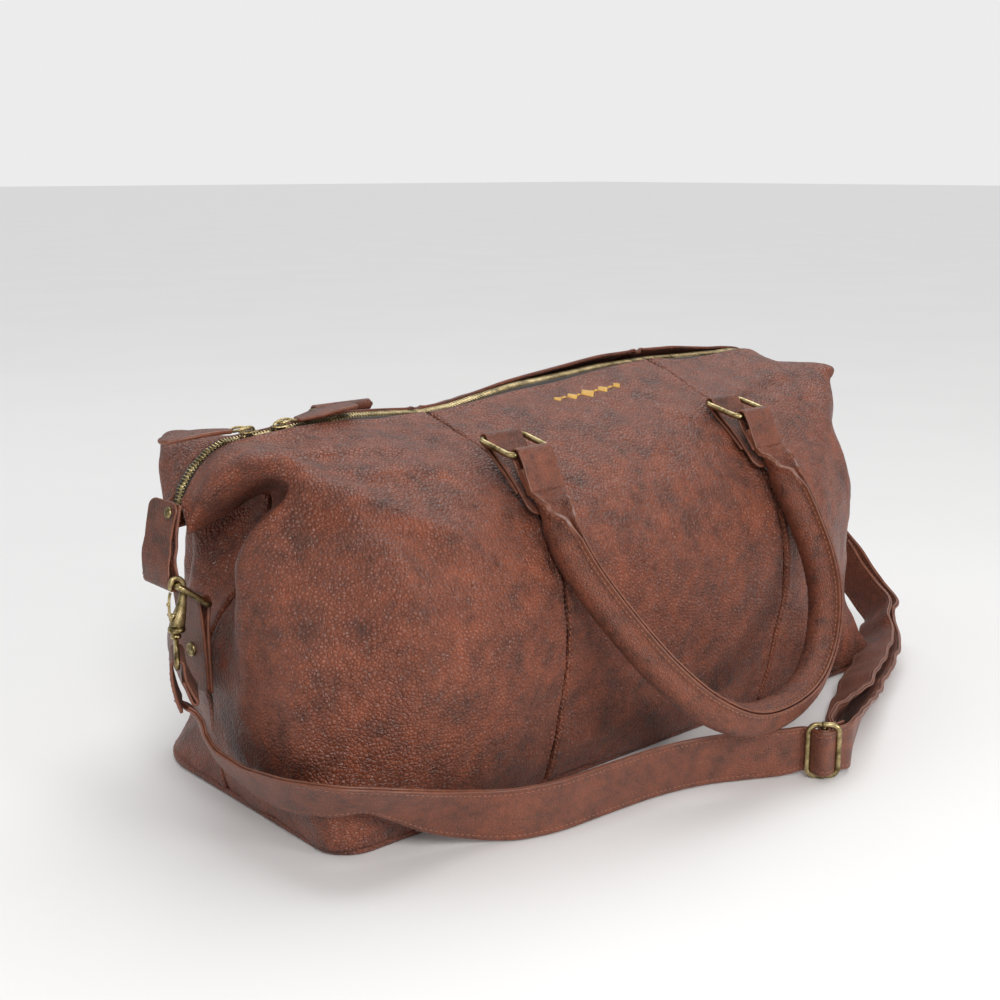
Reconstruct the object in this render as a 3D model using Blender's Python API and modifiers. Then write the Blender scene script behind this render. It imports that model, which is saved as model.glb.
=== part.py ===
"""Leather duffel bag: body panels, zip, handles on rings, end hardware and a shoulder strap.

Metres, +Z up. The origin is the middle of the base, on the surface that the bag stands on.
+X runs along the bag's length, and the front faces -Y.
"""
import math

import bmesh
import bpy
from mathutils import Matrix, Vector

# ---- driving dimensions -------------------------------------------------------------------------
SEAM_X = 0.1085            # the two body seams, which carry the handle tabs
CORNER_X = 0.235           # where the body starts to turn round its corners
BASE_HALF_X = 0.2710
BASE_HALF_Y = 0.1240
BASE_CORNER_R = 0.024
SLUMP_CENTRE = (-0.211, 0.055)   # the back left corner has slumped into a wide curve
SLUMP_R = 0.060
SLUMP_START_X = -0.120
SLUMP_INSET_GAIN = 1.5           # the stiffener keeps this much further from it
BASE_T = 0.003
BOARD_INSET = 0.0145       # from the base's edge to the stiffener's edge
BOARD_GAP = 0.0005
BOARD_T = 0.0025
LINING_T = 0.0008
LINING_CORNER_R = 0.045
LEATHER = 0.0025           # body leather with its backing
SEAM_GAP = 0.0004
ZIP_MID_Z = 0.2412         # zip line at the middle of the bag
ZIP_SLOPE = 0.0360         # the line rises slightly towards +X
ZIP_STRAIGHT = (-0.262, 0.215)
ZIP_LEFT_END = [(-0.297, 0.196), (-0.293, 0.2065), (-0.285, 0.2165), (-0.2745, 0.2265)]
ZIP_RIGHT_END = [(0.245, 0.2455), (0.268, 0.2370), (0.285, 0.2220), (0.293, 0.2085), (0.297, 0.196)]
BELLY = 0.006              # how far a wall bulges between its seam and its corner
CORNER_ROUND = (0.004, 0.007)   # how far the corners are rounded out, along x and y
PINCH_FLATTENS = 20.0      # a pinched corner is rounded less: share lost for each metre of pinch
LIP_HALF_GAP = 0.0078      # from the zip's middle to the edge of each leather lip
TAPE_ENDS = (-0.240, 0.235)
CHAIN_HALF_W = 0.0028
CHAIN_SINK = 0.0005        # the chain's top lies this far below the zip line
CHAIN_SHORT = 0.0015       # and it stops short of the line's ends
TAPE_GAP = 0.0003
TAPE_SINK = 0.0048         # middle of the tapes below the underside of the lips
CHAIN_T = 0.0035
TAPE_W = 0.0090
TAPE_T = 0.0008
STRAP_W = 0.033
STRAP_T = 0.003
TAB_W = 0.030
TAB_T = 0.0016
RING_WIRE_R = 0.002
RING_W = 0.036             # centre to centre, along the tab's width
HANDLE_R = 0.011
HANDLE_WALL = 0.0022
CORE_R = 0.0082
HANDLE_TILT = math.radians(31.0)
RING_INNER = (0.081, 0.226)    # |y| and z of the bar that the tab holds
RING_OUTER = (0.110, 0.220)    # |y| and z of the bar that the handle holds
# Leaves of a handle tab on the wall: |y| and z, up the outside to the ring and back down underneath.
HANDLE_TAB_OUTER = [(0.1245, 0.1845), (0.1135, 0.1975), (0.1010, 0.2083), (0.0905, 0.2185)]
HANDLE_TAB_INNER = [(0.0880, 0.2160), (0.1010, 0.2058), (0.1120, 0.1955), (0.1225, 0.1830)]
LOOP_R = 0.0036            # middle of the leather where it turns round a ring's bar
END_RING_W = 0.043
END_TAB_W = 0.032
END_RING_OUTER = (0.309, 0.152)
END_RING_INNER = (0.289, 0.137)
END_RING_CORNER_R = 0.002
# Leaves of the end tabs before and after the turn round the ring: distance from the middle, and height.
UPPER_TAB_LEAVES = ([(0.3048, 0.2000), (0.3082, 0.1850), (0.3110, 0.1660)],
                    [(0.3085, 0.1660), (0.3058, 0.1850), (0.3024, 0.1995)])
LOWER_TAB_LEAVES = ([(0.2885, 0.0790), (0.2895, 0.1000), (0.2905, 0.1260)],
                    [(0.2875, 0.1235), (0.2872, 0.1000), (0.2862, 0.0790)])
UPPER_RIVET = (0.3073, -0.0095, 0.1947)
RIVET_SIZE = (0.0036, 0.0024, 0.0016)      # radius, radius of its top, height
RIVET_TILT = 0.2
LOWER_STUD = (0.2909, 0.0, 0.1040)
STUD_SIZE = (0.0042, 0.0030, 0.0020)
HOOK_Y = -0.0178           # the hook hangs on the ring beside the tab
HOOK_X = 0.311
HOOK_R = 0.0044            # middle of the hook's wire where it runs over the ring's bar
HOOK_WIRE_R = 0.00125
HOOK_SHANK = [(0.3045, 0.1380), (0.3060, 0.1310), (0.3110, 0.1290)]
SWIVEL_Z = 0.1240
GATE_PIVOT = (0.3132, 0.1345)
GATE_TIP = (0.3134, 0.1468)
GATE_TAIL = 0.0040
GATE_W = 0.0024
GATE_T = 0.0012
EYE_TURN = math.radians(18.0)
EYE_Z = 0.107              # middle of the eye's lower bar
EYE_W = 0.0394
EYE_H = 0.0180
EYE_CORNER_R = 0.0035
EYE_WIRE_R = 0.0016
STRAP_LOOP_FRONT = [(0.0016, 0.0785), (0.0030, 0.0930)]      # out from the eye's plane, and height
STRAP_LOOP_BACK = [(-0.0030, 0.0930), (-0.0024, 0.0850)]
BUCKLE = Vector((0.0385, -0.2345, 0.0197))
BUCKLE_DIR = Vector((0.73, -0.683, 0.0)).normalized()
BUCKLE_W = 0.0195          # centre to centre, along the strap
BUCKLE_H = 0.0350          # centre to centre, across the strap
BUCKLE_CORNER_R = 0.005
BUCKLE_WIRE_R = 0.0018
BUCKLE_BAR_R = 0.0014
WRAP_R = 0.0030            # middle of the leather wound round the buckle's centre bar
WRAP_TAIL = 0.0052         # how far its tails run past the bar
WRAP_TAIL_OUT = 0.0018
WRAP_W = 0.0300
WRAP_T = 0.0016
STRAP_LOOP_T = 0.0022
STRAP_LAYER_T = 0.0026
SLIDER_X = (-0.245, -0.222)
SLIDER_SIZE = (0.0115, 0.0098, 0.0022)
SLIDER_LIFT = 0.0016       # middle of a slider above the zip line's chain
PULL_LIFT = 0.0046         # pivot of a pull above the same place
PULL_LENGTH = (0.047, 0.044)
PULL_START = 0.0139        # from the pivot to the leather, past the brass link
PULL_RISE = 0.0006         # each third of a pull lies this much higher than the one before
LINK_LENGTH = 0.0125
LINK_W = 0.0075
LINK_CORNER_R = 0.0024
LINK_WIRE_R = 0.0009
LINK_OFFSET = 0.0055       # from the pivot to the middle of the link
SLIDER_BEVEL = 0.0005
PULL_W = 0.017
PULL_T = 0.0026

# Half cross-section at a seam: distance from the middle and height, from the base to the lip.
SECTION = [(0.1245, 0.0048), (0.1325, 0.0300), (0.1385, 0.0620), (0.1440, 0.0940), (0.1440, 0.1250),
           (0.1360, 0.1560), (0.1180, 0.1830), (0.0960, 0.2025), (0.0660, 0.2200), (0.0360, 0.2315),
           (LIP_HALF_GAP, ZIP_MID_Z)]
# The same rows where the wall turns onto the bag's end: up the corner to the ear, then along the zip's end.
CORNER = [(0.2695, 0.1185, 0.0048), (0.2760, 0.1170, 0.0300), (0.2800, 0.1150, 0.0620),
          (0.2800, 0.1100, 0.0940), (0.2765, 0.1010, 0.1250), (0.2735, 0.0900, 0.1560),
          (0.2720, 0.0780, 0.1830), (0.2720, 0.0670, 0.2075), (0.2745, 0.0570, 0.2295),
          (0.2900, 0.0240, 0.2010), (0.2970, LIP_HALF_GAP, 0.1945)]
# How far each corner is pressed in, row by row: the bag is soft and stands a little collapsed.
SLACK_BACK = [0.004, 0.009, 0.014, 0.016, 0.017, 0.013, 0.007, 0.002, 0.0, 0.0, 0.0]
PINCH = {("front", "left"): [0.0] * 11,
         ("back", "left"): [0.026, 0.043, 0.029, 0.029, 0.040, 0.042, 0.034, 0.007, 0.0, 0.0, 0.0],
         ("front", "right"): [0.002, 0.022, 0.040, 0.039, 0.036, 0.026, 0.013, 0.005, 0.0, 0.0, 0.0],
         ("back", "right"): SLACK_BACK}
EAR_RISE_RIGHT = 0.004     # the right ears stand a little higher
# How far the front right wall has sunk in by the time it reaches its corner, row by row.
SUNK_FRONT_RIGHT = [0.002, 0.012, 0.030, 0.035, 0.036, 0.030, 0.020, 0.008, 0.002, 0.0, 0.0]
SUNK_BACK_LEFT = [0.0145, 0.022, 0.030, 0.034, 0.034, 0.030, 0.020, 0.008, 0.002, 0.0, 0.0]
SINK_POWER = 1.6
WING_ROWS = (9, 10)        # rows that run past the corner to the zip's end
WING_X = {9: (0.262, 0.281), 10: (0.268, 0.287)}   # where they pass on the way
WING_DROP = 0.0055         # how far the outer of those rows lies below the lip
# The stitched seam down the middle of the bag's end, for the rows below the wing.
END_SEAM = [(0.2705, 0.0048), (0.2770, 0.0300), (0.2805, 0.0620), (0.2822, 0.0940), (0.2790, 0.1220),
            (0.2670, 0.1460), (0.2520, 0.1660), (0.2400, 0.1840), (0.2340, 0.1990)]
LOBE = [0.0, 0.003, 0.005, 0.006, 0.008, 0.010, 0.010, 0.006, 0.002]   # bulge beside the end seam
LINING_RINGS = [
    (0.0068, 0.248, 0.106), (0.0300, 0.236, 0.112),
    (0.0620, 0.226, 0.118), (0.0940, 0.224, 0.120),
    (0.1250, 0.222, 0.117), (0.1560, 0.219, 0.110),
    (0.1830, 0.212, 0.097), (0.2000, 0.205, 0.082),
]
# Handle centre line in its own plane: along the bag, and down from the ring's outer bar.
HANDLE_ROUTE = [(-0.1095, 0.053), (-0.1070, 0.072), (-0.1010, 0.092), (-0.0885, 0.121), (-0.0710, 0.153),
                (-0.0480, 0.181), (-0.0190, 0.199), (0.0160, 0.2015), (0.0500, 0.193), (0.0800, 0.172),
                (0.1030, 0.142), (0.1130, 0.112), (0.1150, 0.080), (0.1130, 0.053)]
LEAF_HALF_GAP = 0.0011     # between the leaves of a handle's flat loop, at its lower end
LEAF_FLARE = 0.0019        # and further up
LEAF_MID = 0.018           # how far below the ring's bar the leaves close up
LEAF_LOW = 0.064           # how far down they run inside the roll
LEAF_W = 0.0285
LEAF_T = 0.0017
HANDLE_TAPER = [0.72, 0.86, 0.96]   # the roll is thinner where it leaves the flat loop
# Strap: middle of its width, then the direction from its lower edge to its upper edge.
STRAP_LEFT = [
    ((-0.3122, -0.0177, 0.0752), (-0.31, -0.95, 0.05)),
    ((-0.3070, -0.0210, 0.0692), (-0.38, -0.87, 0.28)),
    ((-0.3005, -0.0315, 0.0590), (-0.42, -0.78, 0.42)),
    ((-0.2970, -0.0480, 0.0450), (-0.42, -0.75, 0.5)),
    ((-0.2935, -0.0760, 0.0400), (-0.40, -0.63, 0.67)),
    ((-0.2915, -0.1085, 0.0440), (-0.38, -0.53, 0.77)),
    ((-0.2810, -0.1350, 0.0470), (-0.30, -0.57, 0.78)),
    ((-0.2630, -0.1475, 0.0460), (-0.25, -0.65, 0.7)),
    ((-0.2430, -0.1530, 0.0390), (-0.2, -0.55, 0.8)),
    ((-0.2220, -0.1555, 0.0295), (-0.18, -0.35, 0.92)),
    ((-0.2010, -0.1590, 0.0225), (-0.1, -0.2, 0.97)),
    ((-0.1840, -0.1640, 0.0185), (0.0, -0.08, 1.0)),
    ((-0.1680, -0.1705, 0.0172), (0, 0, 1)),
    ((-0.1430, -0.1770, 0.0172), (0, 0, 1)),
    ((-0.1060, -0.1790, 0.0172), (0, 0, 1)),
    ((-0.0650, -0.1820, 0.0172), (0, 0, 1)),
    ((-0.0300, -0.1900, 0.0172), (0, 0, 1)),
    ((0.0000, -0.2040, 0.0172), (0, 0, 1)),
    ((0.0200, -0.2165, 0.0180), (0, 0, 1)),
]
STRAP_RIGHT = [
    ((0.0620, -0.2290, 0.0180), (0, 0, 1)),
    ((0.0800, -0.2170, 0.0175), (0, 0, 1)),
    ((0.1080, -0.2025, 0.0175), (0, 0, 1)),
    ((0.1400, -0.1880, 0.0175), (0, 0, 1)),
    ((0.1750, -0.1730, 0.0175), (0, 0, 1)),
    ((0.2100, -0.1590, 0.0175), (0, 0, 1)),
    ((0.2450, -0.1460, 0.0178), (0, 0, 1)),
    ((0.2780, -0.1330, 0.0185), (0, 0, 1)),
    ((0.3040, -0.1170, 0.0215), (0, -0.1, 1.0)),
    ((0.3230, -0.0950, 0.0280), (0, -0.25, 0.97)),
    ((0.3320, -0.0700, 0.0370), (0, -0.4, 0.9)),
    ((0.3320, -0.0470, 0.0470), (0, -0.6, 0.8)),
    ((0.3260, -0.0290, 0.0560), (0.1, -0.8, 0.6)),
    ((0.3180, -0.0195, 0.0650), (0.25, -0.93, 0.2)),
    ((0.3150, -0.0175, 0.0735), (0.31, -0.951, 0.0)),
]
LAYER_STEP = 0.0022        # half the distance between the middles of the strap's two layers

LEATHER_LOOK = ((0.21, 0.075, 0.036), 0.42, 0.0)
EDGE_LOOK = ((0.26, 0.095, 0.045), 0.5, 0.0)
BRASS_LOOK = ((0.34, 0.27, 0.13), 0.32, 1.0)
TAPE_LOOK = ((0.03, 0.025, 0.022), 0.85, 0.0)
LINING_LOOK = ((0.12, 0.09, 0.07), 0.9, 0.0)
BOARD_LOOK = ((0.05, 0.05, 0.05), 0.6, 0.0)
CORE_LOOK = ((0.5, 0.45, 0.36), 0.9, 0.0)


# ---- scene and materials ------------------------------------------------------------------------
def clear_scene():
    for item in list(bpy.data.objects):
        bpy.data.objects.remove(item, do_unlink=True)


def make_collection(name):
    collection = bpy.data.collections.new(name)
    bpy.context.scene.collection.children.link(collection)
    return collection


clear_scene()
BAG = make_collection("duffel_bag")
JOIN_SHAPES = make_collection("join_shapes")


def material(name, look):
    colour, roughness, metallic = look
    made = bpy.data.materials.new(name)
    made.use_nodes = True
    shader = made.node_tree.nodes["Principled BSDF"]
    shader.inputs["Base Color"].default_value = (*colour, 1.0)
    shader.inputs["Roughness"].default_value = roughness
    shader.inputs["Metallic"].default_value = metallic
    return made


def add_object(name, data, look, parent=None, collection=None):
    made = bpy.data.objects.new(name, data)
    (collection or BAG).objects.link(made)
    data.materials.append(material(name, look))
    if parent:
        made.parent = parent
        made.matrix_parent_inverse = Matrix.Translation(parent.location).inverted()
    return made


def joint_empty(name, place, parent=None):
    made = bpy.data.objects.new(name, None)
    BAG.objects.link(made)
    made.location = place
    if parent:
        made.parent = parent
        made.matrix_parent_inverse = Matrix.Translation(world_place(parent)).inverted()
    return made


def world_place(item):
    place = Vector((0, 0, 0))
    while item:
        inverse = item.matrix_parent_inverse if item.parent else Matrix()
        place = inverse @ (item.location + place) if item.parent else item.location + place
        item = item.parent
    return place


# ---- shapes -------------------------------------------------------------------------------------
def mesh_from(name, vertices, faces):
    mesh = bpy.data.meshes.new(name)
    mesh.from_pydata([tuple(v) for v in vertices], [], faces)
    build = bmesh.new()
    build.from_mesh(mesh)
    bmesh.ops.recalc_face_normals(build, faces=build.faces)
    build.to_mesh(mesh)
    build.free()
    return mesh


def shell(name, columns, thickness, look, outward):
    """An open sheet through columns of points, thickened away from the outward direction.

    A column may be shorter than the one before it, and the sheet then ends in a step.
    """
    starts = []
    vertices = []
    for column in columns:
        starts.append(len(vertices))
        vertices += column
    faces = []
    for c in range(len(columns) - 1):
        for r in range(min(len(columns[c]), len(columns[c + 1])) - 1):
            here, there = starts[c] + r, starts[c + 1] + r
            faces.append((here, here + 1, there + 1, there))
    mesh = bpy.data.meshes.new(name)
    mesh.from_pydata([tuple(v) for v in vertices], [], faces)
    middle = mesh.polygons[len(columns[0]) // 2]
    if middle.normal.dot(Vector(outward)) < 0:
        mesh.flip_normals()
    made = add_object(name, mesh, look)
    thick = made.modifiers.new("thickness", "SOLIDIFY")
    thick.thickness = thickness
    thick.offset = -1.0
    thick.use_even_offset = True
    return made


def ribbon(name, centres, edge_dirs, width, thickness, look, parent=None):
    """A flat strip along the centres, its width lying along each edge direction."""
    centres = [Vector(c) for c in centres]
    vertices = []
    last = len(centres) - 1
    for i, centre in enumerate(centres):
        along = centres[min(i + 1, last)] - centres[max(i - 1, 0)]
        normal = along.cross(Vector(edge_dirs[i])).normalized()
        across = normal.cross(along).normalized()
        for side, face in ((-1, -1), (1, -1), (1, 1), (-1, 1)):
            vertices.append(centre + across * (side * width / 2) + normal * (face * thickness / 2))
    faces = [(0, 1, 2, 3), tuple(4 * last + k for k in (3, 2, 1, 0))]
    for i in range(last):
        for k in range(4):
            n = (k + 1) % 4
            faces.append((4 * i + k, 4 * (i + 1) + k, 4 * (i + 1) + n, 4 * i + n))
    return add_object(name, mesh_from(name, vertices, faces), look, parent)


def wire(name, points, radius, look, cyclic=False, parent=None, sides=1, taper=()):
    curve = bpy.data.curves.new(name, "CURVE")
    curve.dimensions = "3D"
    curve.bevel_depth = radius
    curve.bevel_resolution = sides
    curve.use_fill_caps = True
    curve.twist_mode = "MINIMUM"
    line = curve.splines.new("POLY")
    line.points.add(len(points) - 1)
    for point, place in zip(line.points, points):
        point.co = (*place, 1.0)
    for i, scale in enumerate(taper):
        line.points[i].radius = scale
        line.points[-1 - i].radius = scale
    line.use_cyclic_u = cyclic
    return add_object(name, curve, look, parent)


def round_rectangle(width, height, radius, steps=3):
    """Outline of a rectangle with round corners, about the origin."""
    outline = []
    for quarter, (sx, sy) in enumerate(((1, 1), (-1, 1), (-1, -1), (1, -1))):
        for step in range(steps + 1):
            angle = math.pi / 2 * (quarter + step / steps)
            outline.append((sx * (width / 2 - radius) + radius * math.cos(angle),
                            sy * (height / 2 - radius) + radius * math.sin(angle)))
    return outline


def ring_points(centre, across, along, width, height, radius=0.004):
    outline = round_rectangle(width, height, radius)
    return [centre + across * u + along * v for u, v in outline]


def smooth_route(points, steps):
    """Catmull-Rom curve through the points, with steps segments between each pair."""
    points = [Vector(p) for p in points]
    ends = [2 * points[0] - points[1]] + points + [2 * points[-1] - points[-2]]
    route = []
    for i in range(len(points) - 1):
        a, b, c, d = ends[i:i + 4]
        for step in range(steps):
            t = step / steps
            route.append(0.5 * (2 * b + (c - a) * t + (2 * a - 5 * b + 4 * c - d) * t * t
                                + (3 * b - a - 3 * c + d) * t ** 3))
    return route + [points[-1]]


def prism(name, outline, low, high, look, parent=None):
    """A flat outline in X and Y, raised from one height to another."""
    count = len(outline)
    vertices = [(x, y, z) for z in (low, high) for x, y in outline]
    faces = [tuple(range(count)), tuple(range(2 * count - 1, count - 1, -1))]
    for i in range(count):
        n = (i + 1) % count
        faces.append((i, n, count + n, count + i))
    return add_object(name, mesh_from(name, vertices, faces), look, parent)


def block(name, size, place, look, parent=None, turn=None, bevel=0.0):
    build = bmesh.new()
    bmesh.ops.create_cube(build, size=1.0)
    bmesh.ops.scale(build, vec=size, verts=build.verts)
    if bevel:
        bmesh.ops.bevel(build, geom=build.edges[:], offset=bevel, segments=1, affect="EDGES")
    matrix = Matrix.Translation(place) @ (turn.to_4x4() if turn else Matrix())
    bmesh.ops.transform(build, matrix=matrix, verts=build.verts)
    mesh = bpy.data.meshes.new(name)
    build.to_mesh(mesh)
    build.free()
    return add_object(name, mesh, look, parent)


def disc(name, radius, top_radius, height, place, axis, look):
    """A low round cap whose base sits at place and which stands out along axis."""
    build = bmesh.new()
    bmesh.ops.create_cone(build, cap_ends=True, segments=16, radius1=radius, radius2=top_radius,
                          depth=height)
    turn = Vector((0, 0, 1)).rotation_difference(Vector(axis)).to_matrix().to_4x4()
    shift = Matrix.Translation(Vector(place) + Vector(axis) * height / 2)
    bmesh.ops.transform(build, matrix=shift @ turn, verts=build.verts)
    mesh = bpy.data.meshes.new(name)
    build.to_mesh(mesh)
    build.free()
    return add_object(name, mesh, look)


def as_mesh(item):
    """Turn a curve or modified object into a plain mesh object with welded ends."""
    name = item.name
    look_source = item.data.materials[0]
    evaluated = item.evaluated_get(bpy.context.evaluated_depsgraph_get())
    mesh = bpy.data.meshes.new_from_object(evaluated)
    build = bmesh.new()
    build.from_mesh(mesh)
    bmesh.ops.remove_doubles(build, verts=build.verts, dist=0.00001)
    build.to_mesh(mesh)
    build.free()
    place = item.matrix_world.copy()
    home = item.users_collection[0]
    bpy.data.objects.remove(item, do_unlink=True)
    made = bpy.data.objects.new(name, mesh)
    home.objects.link(made)
    made.matrix_world = place
    mesh.materials.clear()
    mesh.materials.append(look_source)
    made.name = name
    return made


# ---- body ---------------------------------------------------------------------------------------
def zip_height(x):
    left, right = ZIP_STRAIGHT
    if left <= x <= right:
        return ZIP_MID_Z + ZIP_SLOPE * x
    line = ZIP_LEFT_END + [(left, ZIP_MID_Z + ZIP_SLOPE * left)]
    if x > right:
        line = [(right, ZIP_MID_Z + ZIP_SLOPE * right)] + ZIP_RIGHT_END
    for (x0, z0), (x1, z1) in zip(line, line[1:]):
        if x0 <= x <= x1:
            return z0 + (z1 - z0) * (x - x0) / (x1 - x0)
    return line[0][1] if x < right else line[-1][1]


def zip_line():
    left, right = ZIP_STRAIGHT
    straight = [(x, ZIP_MID_Z + ZIP_SLOPE * x) for x in (left, right)]
    return [Vector((x, 0, z)) for x, z in ZIP_LEFT_END + straight + ZIP_RIGHT_END]


def wall_point(x, row, side):
    """A point of the front or back wall, with y as the distance from the middle."""
    y, z = SECTION[row]
    rise = max(0.0, (z - 0.18) / (ZIP_MID_Z - 0.18))
    z += (zip_height(x) - ZIP_MID_Z) * rise
    reach = max(0.0, abs(x) - SEAM_X) / (CORNER_X - SEAM_X)
    belly = math.sin(math.pi * min(1.0, reach)) * math.sin(math.pi * min(1.0, z / 0.2))
    if side < 0 and x > SEAM_X:
        y -= SUNK_FRONT_RIGHT[row] * min(1.0, reach) ** SINK_POWER
    if side > 0 and x < -SEAM_X:
        y -= SUNK_BACK_LEFT[row] * min(1.0, reach) ** SINK_POWER
    return Vector((x, y + BELLY * belly, z))


def panel_rows(side, x_from, x_to):
    xs = [x_from + (x_to - x_from) * k / 3 for k in range(4)]
    return [[flip(wall_point(x, row, side), side) for row in range(len(SECTION))] for x in xs]


def flip(point, side):
    return Vector((point.x, point.y * side, point.z))


def corner_pinch(side, end, row):
    return PINCH["front" if side < 0 else "back", "left" if end < 0 else "right"][row]


def corner_point(side, end, row):
    x, y, z = CORNER[row]
    pressed = corner_pinch(side, end, row)
    rise = EAR_RISE_RIGHT if end > 0 and row in (7, 8) else 0.0
    return Vector((end * (x - pressed), y - 0.30 * pressed, z + rise))


def corner_columns(side, end):
    """Columns of a wall from where its corner starts to the corner itself, with every row."""
    columns = []
    for step, part in enumerate((0.45, 0.8, 1.0)):
        column = []
        for row in range(len(CORNER)):
            point = wall_point(end * CORNER_X, row, side).lerp(corner_point(side, end, row), part)
            rounding = math.sin(math.pi * part) * (1.0 - PINCH_FLATTENS * corner_pinch(side, end, row))
            if row not in WING_ROWS:
                point.y += CORNER_ROUND[1] * rounding
                point.x += end * CORNER_ROUND[0] * rounding
            elif part < 1.0:
                point.x = end * WING_X[row][step]
                point.z = zip_height(point.x) - WING_DROP * (WING_ROWS[1] - row)
            column.append(flip(point, side))
        columns.append(column)
    return columns


def end_columns(side, end):
    """Columns across the bag's end, from beside the corner to the seam in its middle."""
    columns = []
    for share in (0.72, 0.45, 0.2, 0.0):
        column = []
        for row, (seam_x, seam_z) in enumerate(END_SEAM):
            edge = corner_point(side, end, row)
            seam = Vector((end * seam_x, SEAM_GAP / 2, seam_z))
            inward = math.cos(math.pi / 2 * share) ** 2
            point = edge.lerp(seam, inward)
            point.y = edge.y * share + seam.y * (1 - share)
            point.x += end * LOBE[row] * math.sin(math.pi * share)
            column.append(flip(point, side))
        columns.append(column)
    return columns


def build_walls():
    for side, face in ((-1, "front"), (1, "back")):
        gap = SEAM_GAP / 2
        shell(face + "_panel_centre", panel_rows(side, -SEAM_X + gap, SEAM_X - gap), LEATHER, LEATHER_LOOK,
              (0, side, 0))
        for end, word in ((-1, "left"), (1, "right")):
            columns = panel_rows(side, end * (SEAM_X + gap), end * CORNER_X) + corner_columns(side, end)
            columns += end_columns(side, end)
            shell(face + "_panel_" + word, columns, LEATHER, LEATHER_LOOK, (0, side, 0))


def base_outline(inset):
    """Outline of the base, drawn in by a distance."""
    half_x, half_y = BASE_HALF_X - inset, BASE_HALF_Y - inset
    square = round_rectangle(2 * half_x, 2 * half_y, BASE_CORNER_R)
    back_right = [p for p in square if p[0] > 0 and p[1] > 0]
    front = [p for p in square if p[1] < 0]
    slump = []
    for angle in range(90, 181, 15):
        turn, radius = math.radians(angle), SLUMP_R - SLUMP_INSET_GAIN * inset
        slump.append((SLUMP_CENTRE[0] + radius * math.cos(turn), SLUMP_CENTRE[1] + radius * math.sin(turn)))
    return back_right + [(SLUMP_START_X, half_y)] + slump + front


def build_base():
    prism("base_panel", base_outline(0.0), 0.0, BASE_T, LEATHER_LOOK)
    low = BASE_T + BOARD_GAP
    prism("base_stiffener", base_outline(BOARD_INSET), low, low + BOARD_T, BOARD_LOOK)


def build_lining():
    rings = []
    for z, half_x, half_y in LINING_RINGS:
        rings.append([Vector((x, y, z)) for x, y in round_rectangle(2 * half_x, 2 * half_y, LINING_CORNER_R, 2)])
    count = len(rings[0])
    faces = [tuple(range(count))]
    for r in range(len(rings) - 1):
        for c in range(count):
            n = (c + 1) % count
            faces.append((r * count + c, r * count + n, (r + 1) * count + n, (r + 1) * count + c))
    mesh = mesh_from("lining", [p for ring in rings for p in ring], faces)
    if mesh.polygons[0].normal.z > 0:
        mesh.flip_normals()
    made = add_object("lining", mesh, LINING_LOOK)
    thick = made.modifiers.new("thickness", "SOLIDIFY")
    thick.thickness = LINING_T
    thick.offset = -1.0


# ---- zip ----------------------------------------------------------------------------------------
def build_zip():
    line = zip_line()
    across = [(0, 1, 0)] * len(line)
    lowered = [p - Vector((0, 0, CHAIN_SINK + CHAIN_T / 2)) for p in line]
    lowered[0].x += CHAIN_SHORT
    lowered[-1].x -= CHAIN_SHORT
    ribbon("zip_chain", lowered, across, 2 * CHAIN_HALF_W, CHAIN_T, BRASS_LOOK)
    for side, word in ((-1, "front"), (1, "back")):
        y = side * (CHAIN_HALF_W + TAPE_GAP + TAPE_W / 2)
        xs = (TAPE_ENDS[0], ZIP_STRAIGHT[1], TAPE_ENDS[1])
        middle = [Vector((x, y, zip_height(x) - LEATHER - TAPE_SINK)) for x in xs]
        ribbon("zip_tape_" + word, middle, across, TAPE_W, TAPE_T, TAPE_LOOK)


def zip_frame(x):
    """Place on top of the chain, and the direction of the zip's straight run."""
    along = Vector((1, 0, ZIP_SLOPE)).normalized()
    return Vector((x, 0, ZIP_MID_Z + ZIP_SLOPE * x - CHAIN_SINK)), along


def build_slider(word, x, end):
    place, along = zip_frame(x)
    joint = joint_empty(word + "_slider_joint", place)
    tilt = Matrix.Rotation(-math.atan(ZIP_SLOPE), 3, "Y")
    middle = place + Vector((0, 0, SLIDER_LIFT))
    block(word + "_zip_slider", SLIDER_SIZE, middle, BRASS_LOOK, joint, tilt, SLIDER_BEVEL)
    pivot = place + Vector((0, 0, PULL_LIFT))
    pull_joint = joint_empty(word + "_pull_joint", pivot, joint)
    outline = round_rectangle(LINK_LENGTH, LINK_W, LINK_CORNER_R)
    link = [pivot + along * (end * (u + LINK_OFFSET)) + Vector((0, v, 0)) for u, v in outline]
    wire(word + "_pull_link", link, LINK_WIRE_R, BRASS_LOOK, True, pull_joint)
    length = PULL_LENGTH[0] if end < 0 else PULL_LENGTH[1]
    start = pivot + along * (end * PULL_START)
    centres = []
    for k in range(4):
        centres.append(start + along * (end * length * k / 3) + Vector((0, 0, PULL_RISE * k)))
    ribbon(word + "_leather_pull", centres, [(0, 1, 0)] * 4, PULL_W, PULL_T, EDGE_LOOK, pull_joint)


# ---- handles ------------------------------------------------------------------------------------
def tab_centres(side, x):
    """Two leaves of a tab on the wall, joined by a loop round the ring's inner bar."""
    y0, z0 = RING_INNER
    turn = []
    for step in range(9):
        angle = math.radians(-8 + 258 * step / 8)
        turn.append((y0 + LOOP_R * math.cos(angle), z0 + LOOP_R * math.sin(angle)))
    path = HANDLE_TAB_OUTER + turn + HANDLE_TAB_INNER
    return [Vector((x, side * y, z)) for y, z in path]


def handle_plane_point(side, x, down):
    y0, z0 = RING_OUTER
    return Vector((x, side * (y0 + down * math.sin(HANDLE_TILT)), z0 - down * math.cos(HANDLE_TILT)))


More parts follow.
